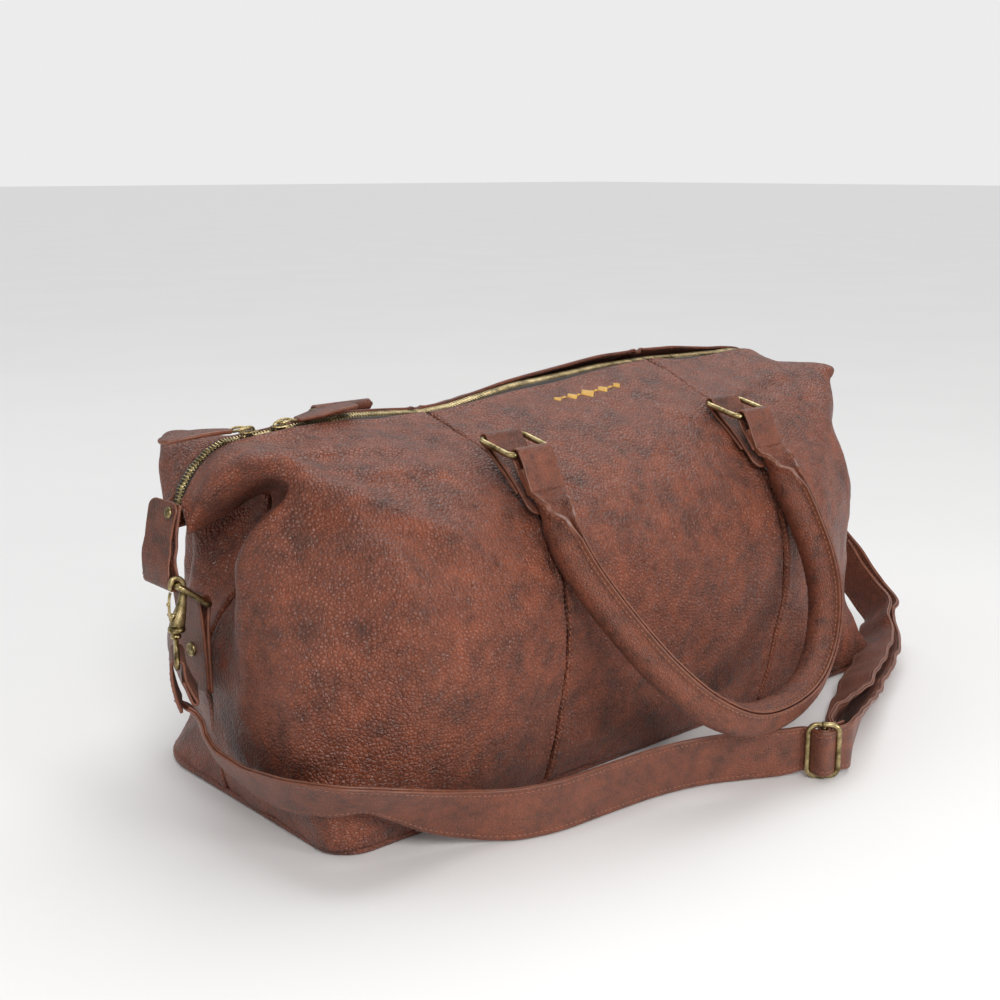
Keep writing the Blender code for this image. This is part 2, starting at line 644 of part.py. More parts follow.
def handle_loop_centres(side, x, x_low):
    """The handle's leather round the ring's outer bar, with both leaves running down the handle's plane."""
    out = Vector((0, side * math.cos(HANDLE_TILT), math.sin(HANDLE_TILT)))
    points = []
    for step in range(9):
        angle = math.radians(-30 + 240 * step / 8)
        centre = handle_plane_point(side, x, -LOOP_R * math.sin(angle))
        points.append(centre + out * (LOOP_R * math.cos(angle)))
    low = handle_plane_point(side, x_low, LEAF_LOW)
    mid = handle_plane_point(side, x, LEAF_MID)
    front = [low + out * LEAF_HALF_GAP, mid + out * LEAF_FLARE]
    return front + points + [mid - out * LEAF_FLARE, low - out * LEAF_HALF_GAP]


def build_handle(side, face):
    ring_joint = joint_empty(face + "_ring_joint", Vector((0, side * RING_INNER[0], RING_INNER[1])))
    handle_joint = joint_empty(face + "_handle_joint", Vector((0, side * RING_OUTER[0], RING_OUTER[1])),
                               ring_joint)
    for end, word in ((-1, "left"), (1, "right")):
        x = end * SEAM_X
        centres = tab_centres(side, x)
        ribbon(face + "_handle_tab_" + word, centres, [(1, 0, 0)] * len(centres), TAB_W, TAB_T, EDGE_LOOK)
        inner = Vector((x, side * RING_INNER[0], RING_INNER[1]))
        outer = Vector((x, side * RING_OUTER[0], RING_OUTER[1]))
        points = ring_points((inner + outer) / 2, Vector((1, 0, 0)), (outer - inner).normalized(),
                             RING_W, (outer - inner).length)
        wire(face + "_ring_" + word, points, RING_WIRE_R, BRASS_LOOK, True, ring_joint)
    route = [handle_plane_point(side, x, down) for x, down in HANDLE_ROUTE]
    route = smooth_route(route, 2)
    cover = wire(face + "_handle_cover", route, HANDLE_R, EDGE_LOOK, sides=3, taper=HANDLE_TAPER)
    cover.data.use_fill_caps = False
    cover = as_mesh(cover)
    thick = cover.modifiers.new("thickness", "SOLIDIFY")
    thick.thickness = HANDLE_WALL
    thick.offset = -1.0
    thick.use_rim = True
    for end, x_low in ((-1, HANDLE_ROUTE[0][0]), (1, HANDLE_ROUTE[-1][0])):
        centres = handle_loop_centres(side, end * SEAM_X, x_low)
        widths = [(1, 0, 0)] * len(centres)
        loop = ribbon("handle_loop_shape", centres, widths, LEAF_W, LEAF_T, EDGE_LOOK)
        BAG.objects.unlink(loop)
        JOIN_SHAPES.objects.link(loop)
        loop.hide_render = True
        loop.display_type = "WIRE"
        join = cover.modifiers.new("end_loop", "BOOLEAN")
        join.operation = "UNION"
        join.object = loop
    bind(cover, handle_joint)
    core = wire(face + "_handle_core", route[3:-3], CORE_R, CORE_LOOK, parent=handle_joint)
    bind(core, handle_joint)


def bind(item, parent):
    item.parent = parent
    item.matrix_parent_inverse = Matrix.Translation(world_place(parent)).inverted()


# ---- end hardware -------------------------------------------------------------------------------
def hairpin(bar, radius, start_angle, end_angle, first, last):
    """Points in X and Z: a leaf, a turn round a bar, and the leaf back."""
    turn = []
    for step in range(9):
        angle = math.radians(start_angle + (end_angle - start_angle) * step / 8)
        turn.append((bar[0] + radius * math.cos(angle), bar[1] + radius * math.sin(angle)))
    return first + turn + last


def build_end(end, word):
    upper = hairpin(END_RING_OUTER, LOOP_R, 20, -200, *UPPER_TAB_LEAVES)
    lower = hairpin(END_RING_INNER, LOOP_R, 0, 205, *LOWER_TAB_LEAVES)
    for tag, path in (("upper_end_tab_", upper), ("lower_end_tab_", lower)):
        centres = [Vector((end * x, 0, z)) for x, z in path]
        ribbon(tag + word, centres, [(0, 1, 0)] * len(centres), END_TAB_W, TAB_T, EDGE_LOOK)
    outer = Vector((end * END_RING_OUTER[0], 0, END_RING_OUTER[1]))
    inner = Vector((end * END_RING_INNER[0], 0, END_RING_INNER[1]))
    points = ring_points((outer + inner) / 2, Vector((0, 1, 0)), (outer - inner).normalized(), END_RING_W,
                         (outer - inner).length, END_RING_CORNER_R)
    wire("end_ring_" + word, points, RING_WIRE_R, BRASS_LOOK, True)
    x, y, z = UPPER_RIVET
    disc("upper_rivet_" + word, *RIVET_SIZE, (end * x, y, z), Vector((end, 0, RIVET_TILT)).normalized(),
         BRASS_LOOK)
    x, y, z = LOWER_STUD
    disc("lower_stud_" + word, *STUD_SIZE, (end * x, y, z), Vector((end, 0, 0)), BRASS_LOOK)


def turned(end, across, out, z):
    """A place near the hook: across the strap, out from the bag, and a height."""
    angle = end * EYE_TURN
    across_dir = Vector((-math.sin(angle), math.cos(angle), 0))
    out_dir = Vector((math.cos(angle), math.sin(angle), 0)) * end
    return Vector((end * HOOK_X, HOOK_Y, z)) + across_dir * across + out_dir * out


def build_hook(end, word):
    bar = Vector((end * END_RING_OUTER[0], HOOK_Y, END_RING_OUTER[1]))
    eye_joint = joint_empty(word + "_strap_end_joint", bar)
    swivel_joint = joint_empty(word + "_swivel_joint", Vector((end * HOOK_X, HOOK_Y, SWIVEL_Z)), eye_joint)
    hook = []
    for step in range(8):
        angle = math.radians(-35 + 215 * step / 7)
        hook.append(bar + Vector((end * HOOK_R * math.cos(angle), 0, HOOK_R * math.sin(angle))))
    hook += [Vector((end * x, HOOK_Y, z)) for x, z in HOOK_SHANK]
    wire(word + "_hook_body", hook, HOOK_WIRE_R, BRASS_LOOK, parent=swivel_joint)
    gate_pivot = Vector((end * GATE_PIVOT[0], HOOK_Y, GATE_PIVOT[1]))
    gate_joint = joint_empty(word + "_gate_joint", gate_pivot, swivel_joint)
    tail = gate_pivot - Vector((0, 0, GATE_TAIL))
    gate = [tail, gate_pivot, Vector((end * GATE_TIP[0], HOOK_Y, GATE_TIP[1]))]
    ribbon(word + "_hook_gate", gate, [(0, 1, 0)] * 3, GATE_W, GATE_T, BRASS_LOOK, gate_joint)
    outline = round_rectangle(EYE_W, EYE_H, EYE_CORNER_R)
    eye = [turned(end, u, 0, EYE_Z + EYE_H / 2 + v) for u, v in outline]
    wire(word + "_swivel_eye", eye, EYE_WIRE_R, BRASS_LOOK, True, eye_joint)
    loop = []
    for step in range(9):
        angle = math.radians(-10 + 200 * step / 8)
        loop.append((LOOP_R * math.cos(angle), EYE_Z + LOOP_R * math.sin(angle)))
    loop = STRAP_LOOP_FRONT + loop + STRAP_LOOP_BACK
    centres = [turned(end, 0, out, z) for out, z in loop]
    across = (turned(end, 1, 0, 0) - turned(end, 0, 0, 0)).normalized()
    widths = [across] * len(centres)
    ribbon(word + "_strap_loop", centres, widths, STRAP_W, STRAP_LOOP_T, LEATHER_LOOK, eye_joint)


# ---- shoulder strap -----------------------------------------------------------------------------
def strap_run(name, stations, thickness, offset):
    centres = smooth_route([c for c, _ in stations], 2)
    edges = smooth_route([e for _, e in stations], 2)
    shifted = []
    for i, centre in enumerate(centres):
        along = centres[min(i + 1, len(centres) - 1)] - centres[max(i - 1, 0)]
        shifted.append(centre + along.cross(edges[i]).normalized() * offset)
    return ribbon(name, shifted, edges, STRAP_W, thickness, LEATHER_LOOK)


def build_strap():
    strap_run("strap_single_run", STRAP_LEFT, STRAP_T, 0.0)
    strap_run("strap_outer_layer", STRAP_RIGHT, STRAP_LAYER_T, LAYER_STEP)
    strap_run("strap_inner_layer", STRAP_RIGHT[1:-1], STRAP_LAYER_T, -LAYER_STEP)
    up = Vector((0, 0, 1))
    points = ring_points(BUCKLE, BUCKLE_DIR, up, BUCKLE_W, BUCKLE_H, BUCKLE_CORNER_R)
    frame = as_mesh(wire("strap_buckle", points, BUCKLE_WIRE_R, BRASS_LOOK, True))
    bar_ends = [BUCKLE - up * BUCKLE_H / 2, BUCKLE + up * BUCKLE_H / 2]
    bar = as_mesh(wire("buckle_bar_shape", bar_ends, BUCKLE_BAR_R, BRASS_LOOK))
    BAG.objects.unlink(bar)
    JOIN_SHAPES.objects.link(bar)
    bar.hide_render = True
    bar.display_type = "WIRE"
    join = frame.modifiers.new("centre_bar", "BOOLEAN")
    join.operation = "UNION"
    join.object = bar
    out = BUCKLE_DIR.cross(up)
    wrap = [BUCKLE + BUCKLE_DIR * WRAP_TAIL + out * WRAP_TAIL_OUT]
    for step in range(9):
        angle = math.radians(60 + 240 * step / 8)
        wrap.append(BUCKLE + BUCKLE_DIR * (WRAP_R * math.cos(angle)) + out * (WRAP_R * math.sin(angle)))
    wrap.append(BUCKLE + BUCKLE_DIR * WRAP_TAIL - out * WRAP_TAIL_OUT)
    ribbon("strap_bar_wrap", wrap, [up] * len(wrap), WRAP_W, WRAP_T, LEATHER_LOOK)


def build_bag():
    build_base()
    build_walls()
    build_lining()
    build_zip()
    build_slider("left", SLIDER_X[0], -1)
    build_slider("right", SLIDER_X[1], 1)
    for side, face in ((-1, "front"), (1, "back")):
        build_handle(side, face)
    for end, word in ((-1, "left"), (1, "right")):
        build_end(end, word)
        build_hook(end, word)
    build_strap()


build_bag()
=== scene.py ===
"""Looks of the leather duffel bag: every piece is built in metres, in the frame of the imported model."""
import math

import bmesh
import bpy
import numpy as np
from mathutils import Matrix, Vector, noise


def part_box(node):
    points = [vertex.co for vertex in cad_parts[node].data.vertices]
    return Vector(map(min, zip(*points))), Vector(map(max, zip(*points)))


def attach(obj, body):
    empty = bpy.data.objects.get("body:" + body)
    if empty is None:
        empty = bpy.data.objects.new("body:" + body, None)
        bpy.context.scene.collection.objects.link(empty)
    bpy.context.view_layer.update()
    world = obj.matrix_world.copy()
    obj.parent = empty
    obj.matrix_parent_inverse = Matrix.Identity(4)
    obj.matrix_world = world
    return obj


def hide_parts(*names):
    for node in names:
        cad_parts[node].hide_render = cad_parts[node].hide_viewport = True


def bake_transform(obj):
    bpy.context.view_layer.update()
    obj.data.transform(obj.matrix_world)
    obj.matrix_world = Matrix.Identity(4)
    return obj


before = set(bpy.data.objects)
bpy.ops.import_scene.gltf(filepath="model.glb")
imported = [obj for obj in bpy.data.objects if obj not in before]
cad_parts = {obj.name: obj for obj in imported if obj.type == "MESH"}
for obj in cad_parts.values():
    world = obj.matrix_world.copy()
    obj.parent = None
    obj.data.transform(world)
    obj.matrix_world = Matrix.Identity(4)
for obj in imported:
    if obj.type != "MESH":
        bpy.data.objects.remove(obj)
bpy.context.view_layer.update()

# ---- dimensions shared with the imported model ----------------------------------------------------
SEAM_X = 0.1085
CORNER_X = 0.235
ZIP_MID_Z = 0.2412
ZIP_SLOPE = 0.0360
LIP = 0.0050
ENDS = ((-1, "left"), (1, "right"))
FACES = ((-1, "front"), (1, "back"))
RING_INNER = (0.081, 0.226)
RING_OUTER = (0.110, 0.220)
RING_W = 0.036
WIRE_R = 0.0020
HANDLE_TILT = math.radians(31.0)
LOOP_R = 0.0036
END_RING_W = 0.043
END_RING_OUTER = (0.309, 0.152)
END_RING_INNER = (0.289, 0.137)
HOOK_X = 0.311
HOOK_Y = -0.0178
EYE_TURN = {-1: math.radians(28.0), 1: math.radians(18.0)}
EYE_Z = 0.107
SWIVEL_Z = 0.1225
STRAP_W = 0.033
BUCKLE = np.array((0.0385, -0.2345, 0.0197))
BUCKLE_DIR = np.array((0.73, -0.683, 0.0)) / math.hypot(0.73, 0.683)
HANDLE_ROUTE = [(-0.1095, 0.053), (-0.1070, 0.072), (-0.1010, 0.092), (-0.0885, 0.121), (-0.0710, 0.153),
                (-0.0480, 0.181), (-0.0190, 0.199), (0.0160, 0.2015), (0.0500, 0.193), (0.0800, 0.172),
                (0.1030, 0.142), (0.1130, 0.112), (0.1150, 0.080), (0.1130, 0.053)]
STRAP_LEFT = [
    ((-0.3101, -0.0183, 0.0785), (-0.44, -0.84, 0.30)),
    ((-0.3045, -0.0205, 0.0735), (-0.44, -0.83, 0.34)),
    ((-0.3000, -0.0218, 0.0655), (-0.44, -0.82, 0.36)),
    ((-0.2980, -0.0255, 0.0550), (-0.43, -0.80, 0.42)),
    ((-0.2972, -0.0370, 0.0470), (-0.42, -0.76, 0.49)),
    ((-0.2955, -0.0530, 0.0425), (-0.42, -0.70, 0.58)),
    ((-0.2935, -0.0760, 0.0400), (-0.40, -0.63, 0.67)),
    ((-0.2915, -0.1085, 0.0440), (-0.38, -0.53, 0.77)),
    ((-0.2810, -0.1350, 0.0470), (-0.30, -0.57, 0.78)),
    ((-0.2630, -0.1475, 0.0460), (-0.25, -0.65, 0.7)),
    ((-0.2430, -0.1530, 0.0390), (-0.2, -0.55, 0.8)),
    ((-0.2220, -0.1555, 0.0295), (-0.18, -0.35, 0.92)),
    ((-0.2010, -0.1590, 0.0225), (-0.1, -0.2, 0.97)),
    ((-0.1840, -0.1640, 0.0185), (0.0, -0.08, 1.0)),
    ((-0.1680, -0.1705, 0.0172), (0, 0, 1)),
    ((-0.1430, -0.1770, 0.0172), (0, 0, 1)),
    ((-0.1060, -0.1790, 0.0172), (0, 0, 1)),
    ((-0.0650, -0.1820, 0.0172), (0, 0, 1)),
    ((-0.0300, -0.1900, 0.0172), (0, 0, 1)),
    ((0.0000, -0.2040, 0.0172), (0, 0, 1)),
    ((0.0200, -0.2165, 0.0180), (0, 0, 1)),
]
# The doubled part of the strap: two layers side by side, from the buckle to the right hook.
STRAP_OUTER = [
    ((0.0482, -0.2381, 0.0193), (0, 0, 1)),
    ((0.0592, -0.2393, 0.0190), (0.00, 0.00, 1.00)),
    ((0.0722, -0.2336, 0.0182), (-0.01, -0.14, 0.99)),
    ((0.0906, -0.2231, 0.0151), (-0.04, -0.36, 0.93)),
    ((0.1120, -0.2082, 0.0131), (-0.06, -0.62, 0.78)),
    ((0.1366, -0.1947, 0.0113), (-0.08, -0.78, 0.62)),
    ((0.1630, -0.1792, 0.0104), (-0.09, -0.87, 0.49)),
    ((0.1934, -0.1638, 0.0096), (-0.09, -0.89, 0.45)),
    ((0.2204, -0.1514, 0.0094), (-0.09, -0.89, 0.45)),
    ((0.2565, -0.1328, 0.0094), (-0.09, -0.89, 0.45)),
    ((0.2795, -0.1177, 0.0119), (-0.09, -0.87, 0.49)),
    ((0.2935, -0.1067, 0.0176), (-0.08, -0.82, 0.57)),
    ((0.3023, -0.0998, 0.0241), (-0.08, -0.77, 0.63)),
    ((0.3130, -0.0960, 0.0265), (0.00, -0.70, 0.71)),
    ((0.3190, -0.0800, 0.0355), (0.00, -0.66, 0.75)),
    ((0.3205, -0.0645, 0.0495), (0.00, -0.64, 0.77)),
    ((0.3195, -0.0505, 0.0625), (0.10, -0.68, 0.72)),
    ((0.3180, -0.0400, 0.0715), (0.24, -0.82, 0.50)),
    ((0.3164, -0.0342, 0.0775), (0.29, -0.894, 0.342)),
]
STRAP_INNER = [
    ((0.0545, -0.2290, 0.0190), (0, 0, 1)),
    ((0.0600, -0.2235, 0.0187), (0.00, 0.00, 1.00)),
    ((0.0722, -0.2165, 0.0181), (-0.01, -0.09, 1.00)),
    ((0.0891, -0.2063, 0.0168), (-0.03, -0.30, 0.95)),
    ((0.1117, -0.1946, 0.0150), (-0.06, -0.57, 0.82)),
    ((0.1363, -0.1837, 0.0153), (-0.08, -0.78, 0.62)),
    ((0.1629, -0.1718, 0.0159), (-0.09, -0.87, 0.49)),
    ((0.1927, -0.1572, 0.0161), (-0.09, -0.89, 0.45)),
    ((0.2409, -0.1345, 0.0161), (-0.09, -0.89, 0.45)),
    ((0.2727, -0.1157, 0.0179), (-0.09, -0.87, 0.49)),
    ((0.2874, -0.1045, 0.0236), (-0.08, -0.82, 0.57)),
    ((0.3010, -0.0970, 0.0290), (0.00, -0.70, 0.71)),
    ((0.3090, -0.0800, 0.0370), (0.00, -0.66, 0.75)),
    ((0.3120, -0.0645, 0.0485), (0.00, -0.64, 0.77)),
    ((0.3130, -0.0510, 0.0605), (0.10, -0.68, 0.72)),
    ((0.3135, -0.0430, 0.0670), (0.20, -0.77, 0.60)),
]
RIGHT_EYE_LEAN = math.radians(20.0)     # the right strap end hangs a little towards the front


# ---- materials ----------------------------------------------------------------------------------
class Nodes:
    """Builds one procedural material."""

    def __init__(self, name, roughness, metallic=0.0, **constants):
        self.made = bpy.data.materials.new(name)
        self.made.use_nodes = True
        self.tree = self.made.node_tree
        self.shader = self.tree.nodes["Principled BSDF"]
        self.shader.inputs["Roughness"].default_value = roughness
        self.shader.inputs["Metallic"].default_value = metallic
        for key, value in constants.items():
            self.shader.inputs[key.replace("_", " ")].default_value = value
        self.place = self.tree.nodes.new("ShaderNodeTexCoord").outputs["Object"]

    def add(self, kind, **values):
        node = self.tree.nodes.new(kind)
        for key, value in values.items():
            setattr(node, key, value)
        return node

    def feed(self, socket, value):
        if isinstance(value, bpy.types.NodeSocket):
            self.tree.links.new(value, socket)
        else:
            socket.default_value = value

    def noise(self, scale, detail=3.0, rough=0.55):
        node = self.add("ShaderNodeTexNoise")
        self.feed(node.inputs["Vector"], self.place)
        node.inputs["Scale"].default_value = scale
        node.inputs["Detail"].default_value = detail
        node.inputs["Roughness"].default_value = rough
        return node.outputs["Fac"]

    def cells(self, scale, feature, place):
        node = self.add("ShaderNodeTexVoronoi", feature=feature)
        self.feed(node.inputs["Vector"], place)
        node.inputs["Scale"].default_value = scale
        return node.outputs["Distance"]

    def wave(self, direction, scale):
        node = self.add("ShaderNodeTexWave", bands_direction=direction)
        self.feed(node.inputs["Vector"], self.place)
        node.inputs["Scale"].default_value = scale
        return node.outputs["Fac"]

    def ramp(self, factor, *stops):
        node = self.add("ShaderNodeValToRGB")
        self.feed(node.inputs["Fac"], factor)
        while len(node.color_ramp.elements) < len(stops):
            node.color_ramp.elements.new(0.5)
        for element, (place, colour) in zip(node.color_ramp.elements, stops):
            element.position = place
            element.color = (*colour, 1.0)
        return node.outputs["Color"]

    def math(self, operation, a, b=0.0):
        node = self.add("ShaderNodeMath", operation=operation)
        self.feed(node.inputs[0], a)
        self.feed(node.inputs[1], b)
        return node.outputs[0]

    def span(self, value, low, high, to_low, to_high):
        node = self.add("ShaderNodeMapRange")
        for socket, item in zip(node.inputs, (value, low, high, to_low, to_high)):
            self.feed(socket, item)
        return node.outputs[0]

    def mix(self, factor, a, b, blend="MIX"):
        node = self.add("ShaderNodeMix", data_type="RGBA", blend_type=blend)
        self.feed(node.inputs[0], factor)
        self.feed(node.inputs[6], a if isinstance(a, bpy.types.NodeSocket) else (*a, 1.0))
        self.feed(node.inputs[7], b if isinstance(b, bpy.types.NodeSocket) else (*b, 1.0))
        return node.outputs[2]

    def bend(self, amount, scale):
        """Object coordinates pushed about by noise, so that cells and patches look grown."""
        node = self.add("ShaderNodeTexNoise")
        self.feed(node.inputs["Vector"], self.place)
        node.inputs["Scale"].default_value = scale
        shift = self.add("ShaderNodeVectorMath", operation="MULTIPLY_ADD")
        self.feed(shift.inputs[0], node.outputs["Color"])
        shift.inputs[1].default_value = (amount, amount, amount)
        self.feed(shift.inputs[2], self.place)
        return shift.outputs[0]

    def finish(self, colour, roughness=None, height=None, depth=0.0005, strength=1.0):
        self.feed(self.shader.inputs["Base Color"], colour)
        if roughness is not None:
            self.feed(self.shader.inputs["Roughness"], roughness)
        if height is not None:
            bump = self.add("ShaderNodeBump")
            bump.inputs["Strength"].default_value = strength
            bump.inputs["Distance"].default_value = depth
            self.feed(bump.inputs["Height"], height)
            self.feed(self.shader.inputs["Normal"], bump.outputs[0])
        return self.made


PATCH_SCALE = 48.0              # cloudy patches in the dye, per metre
SMUDGE_SCALE = 125.0            # smaller smudges in it
FINE_SCALE = 420.0              # the finest unevenness
PEBBLE_CREASE_SHADE_TINT = (0.42, 0.36, 0.34)        # painted shade: how much darker the colour is made in the creases between pebbles
FINE_TINT = (0.72, 0.68, 0.68)


def leather(name, dark, mid, red, grain, depth, rough_low, rough_high, patch=1.0):
    """Pebbled, mottled leather: grain is the width of one pebble in metres, patch makes its clouds smaller."""
    n = Nodes(name, 0.4, Sheen_Weight=0.05, Sheen_Roughness=0.45, Specular_IOR_Level=0.5)
    grown = n.bend(grain * 0.45, 0.35 / grain)
    pebble = n.cells(1.0 / grain, "SMOOTH_F1", grown)
    crease = n.cells(1.0 / grain, "DISTANCE_TO_EDGE", grown)
    patches = n.noise(PATCH_SCALE * patch, 4.0, 0.6)
    smudges = n.noise(SMUDGE_SCALE * patch, 3.0, 0.6)
    fine = n.noise(FINE_SCALE, 2.0)
    spread = n.math("ADD", n.math("MULTIPLY", patches, 0.62), n.math("MULTIPLY", smudges, 0.38))
    base = n.ramp(spread, (0.34, dark), (0.49, mid), (0.64, red))
    base = n.mix(n.span(fine, 0.35, 0.65, 0.0, 0.35), base, n.mix(1.0, base, FINE_TINT, "MULTIPLY"))
    # painted shade: the colour is darkened in the creases between pebbles
    painted_crease_shade = n.span(crease, 0.0, 0.16, 0.45, 0.0)
    base = n.mix(painted_crease_shade, base, n.mix(1.0, base, PEBBLE_CREASE_SHADE_TINT, "MULTIPLY"))
    dome = n.span(pebble, 0.0, 0.75, 1.0, 0.0)
    wrinkle = n.noise(0.22 / grain, 4.0, 0.6)
    height = n.math("ADD", n.math("MULTIPLY", dome, 0.60), n.math("MULTIPLY", wrinkle, 0.07))
    height = n.math("ADD", height, n.span(crease, 0.0, 0.22, 0.0, 0.40))
    height = n.math("ADD", height, n.math("MULTIPLY", fine, 0.06))
    rough = n.span(smudges, 0.3, 0.7, rough_low, rough_high)
    return n.finish(base, rough, height, depth)


def painted_edge():
    n = Nodes("painted_edge", 0.38, Coat_Weight=0.15, Coat_Roughness=0.3)
    streak = n.noise(160.0, 3.0)
    colour = n.ramp(streak, (0.3, (0.125, 0.038, 0.019)), (0.7, (0.215, 0.070, 0.034)))
    return n.finish(colour, n.span(streak, 0.3, 0.7, 0.3, 0.48), n.noise(700.0, 2.0), 0.0002, 0.6)


def thread(name, dark, light):
    n = Nodes(name, 0.65, Sheen_Weight=0.3)
    twist = n.noise(2600.0, 2.0)
    colour = n.ramp(twist, (0.35, dark), (0.65, light))
    return n.finish(colour, None, twist, 0.00015, 0.8)


def antique_brass(name="antique_brass", bright=1.3):
    n = Nodes(name, 0.26, 1.0)
    patina = n.noise(130.0, 5.0, 0.65)
    fine = n.noise(900.0, 3.0)
    tones = ((0.36, (0.085, 0.062, 0.026)), (0.52, (0.30, 0.235, 0.115)), (0.68, (0.47, 0.385, 0.21)))
    colour = n.ramp(patina, *((place, [part * bright for part in tone]) for place, tone in tones))
    rough = n.math("ADD", n.span(patina, 0.3, 0.7, 0.42, 0.2), n.math("MULTIPLY", fine, 0.08))
    return n.finish(colour, rough, fine, 0.00008, 0.5)


def tape_cloth():
    n = Nodes("zip_tape_cloth", 0.85, Sheen_Weight=0.2)
    weave = n.math("MULTIPLY", n.wave("Y", 300.0), n.wave("X", 300.0))
    colour = n.ramp(weave, (0.0, (0.008, 0.006, 0.005)), (1.0, (0.035, 0.026, 0.022)))
    return n.finish(colour, None, weave, 0.0002)


def woven(name, low, high, scale):
    n = Nodes(name, 0.9, Sheen_Weight=0.25)
    weave = n.math("MULTIPLY", n.wave("DIAGONAL", scale), n.wave("Z", scale))
    colour = n.mix(n.noise(40.0), n.ramp(weave, (0.0, low), (1.0, high)), low)
    return n.finish(colour, None, weave, 0.0003)


BODY = leather("body_leather", (0.090, 0.025, 0.012), (0.186, 0.048, 0.021), (0.275, 0.070, 0.029),
               0.0023, 0.00105, 0.33, 0.44)
TRIM = leather("trim_leather", (0.074, 0.023, 0.012), (0.150, 0.043, 0.021), (0.210, 0.058, 0.026),
               0.0016, 0.00055, 0.40, 0.52, 1.5)
HANDLE = leather("handle_leather", (0.080, 0.023, 0.011), (0.178, 0.048, 0.021), (0.238, 0.063, 0.027),
                 0.0016, 0.00050, 0.36, 0.48, 1.5)
STRAP = leather("strap_leather", (0.088, 0.028, 0.015), (0.178, 0.052, 0.026), (0.242, 0.070, 0.033),
                0.0015, 0.00045, 0.42, 0.54, 1.5)
EDGE = painted_edge()
THREAD = thread("stitch_thread", (0.20, 0.065, 0.030), (0.42, 0.16, 0.08))
GOLD_THREAD = thread("gold_thread", (0.48, 0.25, 0.03), (0.85, 0.52, 0.10))
TRIM_LOOKS = [TRIM, EDGE, THREAD]
STRAP_LOOKS = [STRAP, EDGE, THREAD]
BRASS = antique_brass()
TEETH = antique_brass("zip_teeth_brass", 1.75)
TAPE = tape_cloth()
LINING = woven("lining_fabric", (0.035, 0.026, 0.021), (0.14, 0.105, 0.08), 260.0)
BOARD = woven("stiffener_fibre", (0.018, 0.018, 0.018), (0.07, 0.07, 0.07), 420.0)
CORD = woven("handle_core_cord", (0.30, 0.25, 0.18), (0.62, 0.54, 0.42), 330.0)


# ---- mesh helpers -------------------------------------------------------------------------------
def unit(v):
    v = np.asarray(v, float)
    return v / np.maximum(np.linalg.norm(v, axis=-1, keepdims=True), 1e-12)


def spline(points, per_span):
    """A Catmull-Rom curve through the points, which may be whole rows of points."""
    ends = np.concatenate([[2 * points[0] - points[1]], points, [2 * points[-1] - points[-2]]])
    curve = []
    for i in range(len(points) - 1):
        a, b, c, d = ends[i:i + 4]
        for t in np.linspace(0, 1, per_span, endpoint=False):
            curve.append(0.5 * (2 * b + (c - a) * t + (2 * a - 5 * b + 4 * c - d) * t * t
                                + (3 * b - a - 3 * c + d) * t ** 3))
    curve.append(points[-1])
    return np.array(curve)


def smooth_line(points, step):
    """A smooth line through the points, resampled at an even step. Works for any number of columns."""
    return resample(spline(np.asarray(points, float), 12), step)


def run_of(line):
    """Distance along a line at each of its points."""
    return np.concatenate([[0], np.cumsum(np.linalg.norm(np.diff(line, axis=0), axis=1))])


def resample(line, step, count=None):
    run = run_of(line[:, :3])
    count = count or max(2, int(round(run[-1] / step)) + 1)
    at = np.linspace(0, run[-1], count)
    return np.stack([np.interp(at, run, line[:, k]) for k in range(line.shape[1])], axis=1)


def tangents(line, cyclic=False):
    if cyclic:
        return unit(np.roll(line, -1, axis=0) - np.roll(line, 1, axis=0))
    return unit(np.gradient(line, axis=0))


class Build:
    """Collects vertices and faces of one piece."""

    def __init__(self):
        self.vertices = []
        self.faces = []
        self.looks = []
        self.count = 0

    def points(self, array):
        array = np.asarray(array, float).reshape(-1, 3)
        first = self.count
        self.vertices.append(array)
        self.count += len(array)
        return first

    def quads(self, index, look=0, wrap_u=False, wrap_v=False):
        """Faces over a grid of vertex indices."""
        rows, cols = index.shape
        for i in range(rows if wrap_u else rows - 1):
            ii = (i + 1) % rows
            for j in range(cols if wrap_v else cols - 1):
                jj = (j + 1) % cols
                face = (index[i, j], index[ii, j], index[ii, jj], index[i, jj])
                if len(set(face)) > 2:
                    self.faces.append(tuple(dict.fromkeys(int(k) for k in face)))
                    self.looks.append(look[i][j] if isinstance(look, (list, np.ndarray)) else look)

    def fan(self, ring, look=0):
        self.faces.append(tuple(int(k) for k in ring))
        self.looks.append(look)

    def net(self, grid):
        """Adds the points of a grid and returns their indices."""
        first = self.points(grid)
        return np.arange(grid.shape[0] * grid.shape[1]).reshape(grid.shape[:2]) + first

    def caps(self, index, look=0):
        self.fan(index[0], look)
        self.fan(index[-1][::-1], look)

    def loft(self, rings, look=0, closed=False):
        """A skin over a row of rings, with its ends filled unless the row closes on itself."""
        index = self.net(np.array(rings))
        self.quads(index, look, wrap_u=closed, wrap_v=True)
        if not closed:
            self.caps(index, look)

    def make(self, name, looks, smooth=True):
        mesh = bpy.data.meshes.new(name)
        mesh.from_pydata(np.vstack(self.vertices).tolist(), [], self.faces)
        for look in looks:
            mesh.materials.append(look)
        mesh.polygons.foreach_set("material_index", np.array(self.looks, np.int32))
        if smooth:
            mesh.polygons.foreach_set("use_smooth", np.ones(len(self.faces), bool))
        mesh.validate()
        mesh.update()
        made = bpy.data.objects.new(name, mesh)
        bpy.context.scene.collection.objects.link(made)
        return made


def outward_normals(obj, weld_distance=None):
    build = bmesh.new()
    build.from_mesh(obj.data)
    if weld_distance:
        bmesh.ops.remove_doubles(build, verts=build.verts, dist=weld_distance)
    bmesh.ops.recalc_face_normals(build, faces=build.faces)
    build.to_mesh(obj.data)
    build.free()
    return obj


def put(obj, body, nodes=()):
    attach(obj, body)
    if nodes:
        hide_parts(*nodes)
    return obj


